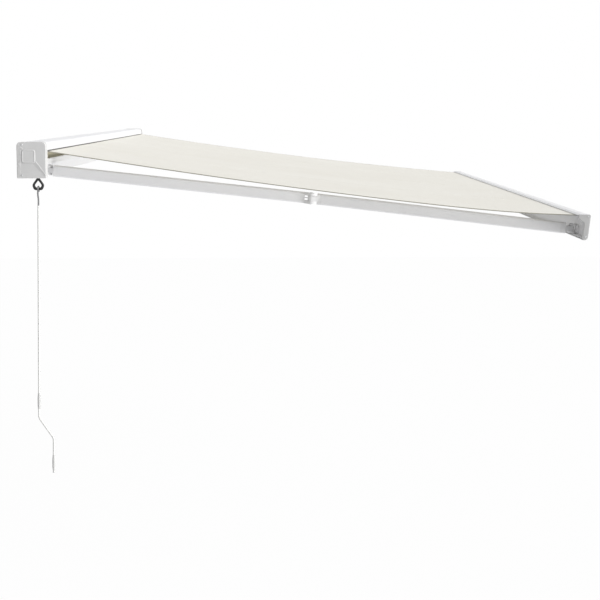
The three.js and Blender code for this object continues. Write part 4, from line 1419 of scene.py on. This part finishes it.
def arm_spring(name, frame_matrix, start, end, line):
    """The tension spring inside the arm, wound close."""
    turns = 96
    per_turn = 14
    count = turns * per_turn
    reach = abs(end - start)
    points = []
    for step in range(count + 1):
        angle = 2 * math.pi * step / per_turn
        along = SPRING_WIRE + step / count * (reach - 2 * SPRING_WIRE)
        x = start + (end - start) * along / reach
        points.append(frame_matrix @ Vector((
            x, line + SPRING_RADIUS * math.cos(angle), SPRING_RADIUS * math.sin(angle))))
    return tube_along(name, points, [SPRING_WIRE] * len(points), SPRING_STEEL, 6)


def stranded_cable(name, frame_matrix, x0, x1, line):
    """Six strands laid round each other."""
    count = 60
    rings = []
    for step in range(count + 1):
        x = x0 + (x1 - x0) * step / count
        lay = 2 * math.pi * (x - x0) / CABLE_LAY
        ring = []
        for index in range(24):
            angle = 2 * math.pi * index / 24
            size = CABLE_RADIUS * (0.9 + 0.1 * math.cos(6 * (angle - lay)))
            ring.append(frame_matrix @ Vector((x, line + size * math.cos(angle), size * math.sin(angle))))
        rings.append(ring)
    return sweep_rings(name, rings, ZINC, smooth=50)


def shoulder_bracket(side, word, shoulder):
    """The cast bracket: a plate on the recess's back wall, and two full cheeks round the arm's tongue."""
    wall = SHOULDER_OUT - RECESS_BACK - FIT_GAP
    flat = Matrix.Translation(at(side * (HALF_WIDTH - ARM_INSET), SHOULDER_OUT, SHOULDER_HEIGHT))
    plate = rounded_corners(
        points_of((-0.048, 0.005), (0.048, 0.005), (0.048, 0.059), (-0.048, 0.059)), [0.005] * 4, 6,
    )
    parts = [inset_stack(
        f"bracket_plate_{word}", plate,
        [(0, wall), (0, wall - 0.004), (0.0003, wall - 0.0047), (0.001, wall - 0.005)],
        lambda out, point: flat @ Vector((point.x, out, point.y - SHOULDER_HEIGHT)), CAST, 30,
    )]
    outline = arc_points(Vector((0, 0)), CHEEK_RADIUS, 180, 180, 28)
    outline += points_of((CHEEK_RADIUS + 0.003, wall - 0.007), (-CHEEK_RADIUS - 0.003, wall - 0.007))
    for number, (low, high) in enumerate(((0.014, 0.0275), (-0.0275, -0.014)), start=1):
        levels = [
            (0.0012, low), (0.0004, low + 0.0004), (0, low + 0.0012),
            (0, high - 0.0012), (0.0004, high - 0.0004), (0.0012, high),
        ]
        parts.append(inset_stack(
            f"bracket_cheek_{word}_{number}", outline, levels,
            lambda height, point: shoulder @ Vector((*point, height)), CAST, 30,
        ))
    stand_in(join_objects(f"shoulder_bracket_cast_{word}", parts), f"shoulder_bracket_{word}")


def arm(side, word):
    reach = -side
    shoulder, upper, elbow, forearm = arm_frames(side)
    arm_end = ARM_RUN - ARM_START
    near, far = sorted((reach * ARM_START, reach * arm_end))
    stand_in(arm_tube(f"upper_arm_tube_{word}", upper, near, far, UPPER_LINE), f"upper_arm_{word}")
    near, far = sorted((-reach * ARM_START, -reach * arm_end))
    stand_in(arm_tube(f"forearm_tube_{word}", forearm, near, far, FORE_LINE), f"forearm_{word}")

    spring_start = ARM_START + PLUG_LENGTH + FIT_GAP
    spring_end = spring_start + SPRING_LENGTH
    spring = arm_spring(f"spring_coil_{word}", upper, reach * spring_start, reach * spring_end, UPPER_LINE)
    stand_in(spring, f"arm_spring_{word}")
    cable = stranded_cable(
        f"cable_strands_{word}", upper, reach * (spring_end - 0.040), reach * (ARM_RUN - 0.012),
        UPPER_LINE,
    )
    stop_places = [
        upper @ Vector((reach * (spring_end + along), UPPER_LINE, 0))
        for along in (0.0003, 0.0009, 0.0054, 0.006)
    ]
    stop = tube_along(f"cable_stop_{word}", stop_places, [0.0102, 0.011, 0.011, 0.0102], ZINC, 28)
    stand_in(join_objects(f"elbow_cable_laid_{word}", [cable, stop]), f"elbow_cable_{word}")

    stand_in(pivot_pin(f"shoulder_pivot_{word}", shoulder, CHEEK_TOP), f"shoulder_pin_{word}")
    stand_in(pivot_pin(f"elbow_pivot_{word}", elbow, ARM_HALF_HIGH), f"elbow_pin_{word}")
    wrist = bar_frame(side * (HALF_WIDTH - ARM_INSET))
    stand_in(pivot_pin(f"wrist_pivot_{word}", wrist, CHEEK_TOP), f"wrist_pin_{word}")

    shoulder_bracket(side, word, shoulder)
    for node in ("shoulder_knuckle", "elbow_fork", "elbow_tongue", "wrist_knuckle", "wrist_bracket"):
        eased_copy(f"{node}_{word}", 0.0008)


# Front bar

BAR_CAP_THICKNESS = 0.005
BAR_SHEET = 0.0026
BAR_CORNER = 0.018
GROOVE_RADIUS = 0.0056


def on_bar(x, u, n):
    """A point on the front bar: u runs outward from the wrist pins, n rises above them."""
    return bar_frame(x) @ Vector((0, -u, n))


def bar_section():
    """The extruded bar: its shell, the fabric's groove, two screw channels and a low rib."""
    end = HALF_WIDTH - BAR_CAP_THICKNESS - FIT_GAP
    half = BAR_SHEET / 2
    line = rounded_corners(
        points_of((-0.032, 0.093 - half), (0.032 - half, 0.100 - half), (0.032 - half, -0.036 + half),
                  (0.002, -0.036 + half)),
        [0, 0.006, BAR_CORNER, 0], 12,
    )
    shell = bent_sheet("bar_shell", line, BAR_SHEET, -end, end, POWDER, to_world=on_bar)
    channel = []
    for step in range(33):
        angle = math.radians(22 + 316 * step / 32)
        channel.append(Vector((
            GROOVE_U - GROOVE_RADIUS * math.cos(angle),
            GROOVE_N + GROOVE_RADIUS * math.sin(angle),
        )))
    groove = bent_sheet("bar_groove", channel, 0.002, -end, end, POWDER, to_world=on_bar)
    parts = [shell, groove]
    for number, (u, n, opening) in enumerate(((0.020, 0.0895, 270), (0.0125, -0.0286, 90)), start=1):
        ring = arc_points(Vector((u, n)), 0.0036, opening + 35, 290, 20)
        name = f"bar_screw_channel_{number}"
        parts.append(bent_sheet(name, ring, 0.0014, -end, end, POWDER, to_world=on_bar))
    # A low rib along the top, in front of the fabric's groove
    rib = rounded_corners(
        points_of((-0.0190, 0.0945), (-0.0130, 0.0952), (-0.0134, 0.0966), (-0.0186, 0.0960)),
        [0.0006] * 4, 4,
    )
    parts.append(extruded("bar_rib", rib, -end, end, POWDER, to_world=on_bar))
    stand_in(join_objects("front_bar_section", parts), "front_bar_profile")


def keder_rod():
    """The cord in the groove, round which the cover's front edge is held."""
    cord = tube_along(
        "keder_cord", [on_bar(x, GROOVE_U, GROOVE_N) for x in (-COVER_HALF, 0, COVER_HALF)],
        [KEDER_RADIUS] * 3, GREY, 24,
    )
    stand_in(cord, "keder_rod")


def bar_caps():
    """The bar's two end caps: each a plate with a raised field, and two screws."""
    outline = rounded_corners(
        points_of((-0.033, 0.077), (-0.033, 0.094), (0.033, 0.101), (0.033, -0.037), (0.002, -0.037),
                  (0.002, 0.051)),
        [0.003, 0.003, 0.007, BAR_CORNER + 0.001, 0.003, 0.012], 10,
    )
    raised = rounded_corners(
        points_of((-0.0265, 0.0785), (-0.0265, 0.0885), (0.0285, 0.0955), (0.0285, -0.0325),
                  (0.0068, -0.0325), (0.0068, 0.0535)),
        [0.002, 0.002, 0.004, 0.015, 0.002, 0.014], 10,
    )
    for side, word in SIDES:
        # The caps' darker coat is painted shade.
        plate = stepped_plate(f"bar_cap_plate_{word}", held(outline), [
            (0, BAR_CAP_THICKNESS), (0, 0.0014), (0.0003, 0.0006), (0.0010, 0.0001), (0.0018, 0),
        ], side, SHADED_BAR_CAP, to_world=on_bar)
        inset = stepped_plate(f"bar_cap_inset_{word}", held(raised), [
            (-0.0006, 0.0002), (0.0, -0.0005), (0.0008, -0.0006), (0.0016, -0.0006),
        ], side, SHADED_BAR_CAP, to_world=on_bar)
        screws = [pan_screw(f"bar_screw_{word}_{number}", on_bar(side * HALF_WIDTH, u, n), side)
                  for number, (u, n) in enumerate(((0.020, 0.0895), (0.0175, -0.020)), start=1)]
        stand_in(join_objects(f"bar_cap_shell_{word}", [plate, inset, *screws]), f"bar_cap_{word}")


# Roll and fixings

ROLL_INNER = 0.0393
ROLL_TURNS = 5
ROLL_SIDES = 96


def fabric_roll():
    """The cloth left on the roller: fuller at its seams and hems, with its turns showing at each end."""
    end = COVER_HALF
    outer = ROLL_RADIUS - 0.0005
    turn_step = (outer - ROLL_INNER) / ROLL_TURNS

    def loop(x, radius):
        centre = at(x, ROLLER_OUT, ROLLER_HEIGHT)
        return ring_loop(centre, Vector((0, -1, 0)), Vector((0, 0, 1)), radius, ROLL_SIDES)

    def fullness(x):
        beside = sum(math.exp(-((x - seam) / 0.008) ** 2) for seam in SEAMS)
        hem = min(1, max(0, (abs(x) - COVER_HALF + HEM_WIDTH) / 0.003))
        return 0.0004 * min(1, beside + hem)

    ridges = []
    for turn in range(ROLL_TURNS):
        radius = ROLL_INNER + (outer - ROLL_INNER) * turn / ROLL_TURNS
        ridges += [(radius, 0.0012), (radius + turn_step * 0.3, 0.0002), (radius + turn_step * 0.7, 0.0002)]
    rings = [loop(-end + depth, radius) for radius, depth in ridges]
    places = steps_between(-end + 0.0003, end - 0.0003, 40)
    for seam in (*SEAMS, -COVER_HALF + HEM_WIDTH, COVER_HALF - HEM_WIDTH):
        places += steps_between(seam - 0.018, seam + 0.018, 12)
    places = sorted(place for place in places if abs(place) < end)
    rings += [loop(x, outer + fullness(x)) for x in places]
    rings += [loop(end - depth, radius) for radius, depth in reversed(ridges)]
    # Its darker khaki canvas is painted shade.
    stand_in(closed_skin("rolled_cloth", rings, SHADED_ROLL_CLOTH, 60), "fabric_roll")


def fixings():
    for word in ("left", "centre", "right"):
        eased_copy(f"wall_bracket_{word}", 0.0006)
        eased_copy(f"bracket_screw_{word}", 0.0004)
    eased_copy("gear_housing", 0.0012)
    eased_copy("idler_bearing", 0.0010)


add_camera()
add_stage()
add_light()
finish_cad_nodes()
cover()
hood()
lower_case()
hood_seal()
for side, word in SIDES:
    end_cap(side, word)
gear_eye()
crank()
for side, word in SIDES:
    arm(side, word)
bar_section()
keder_rod()
bar_caps()
fabric_roll()
fixings()

bpy.context.scene.view_settings.view_transform = "Standard"
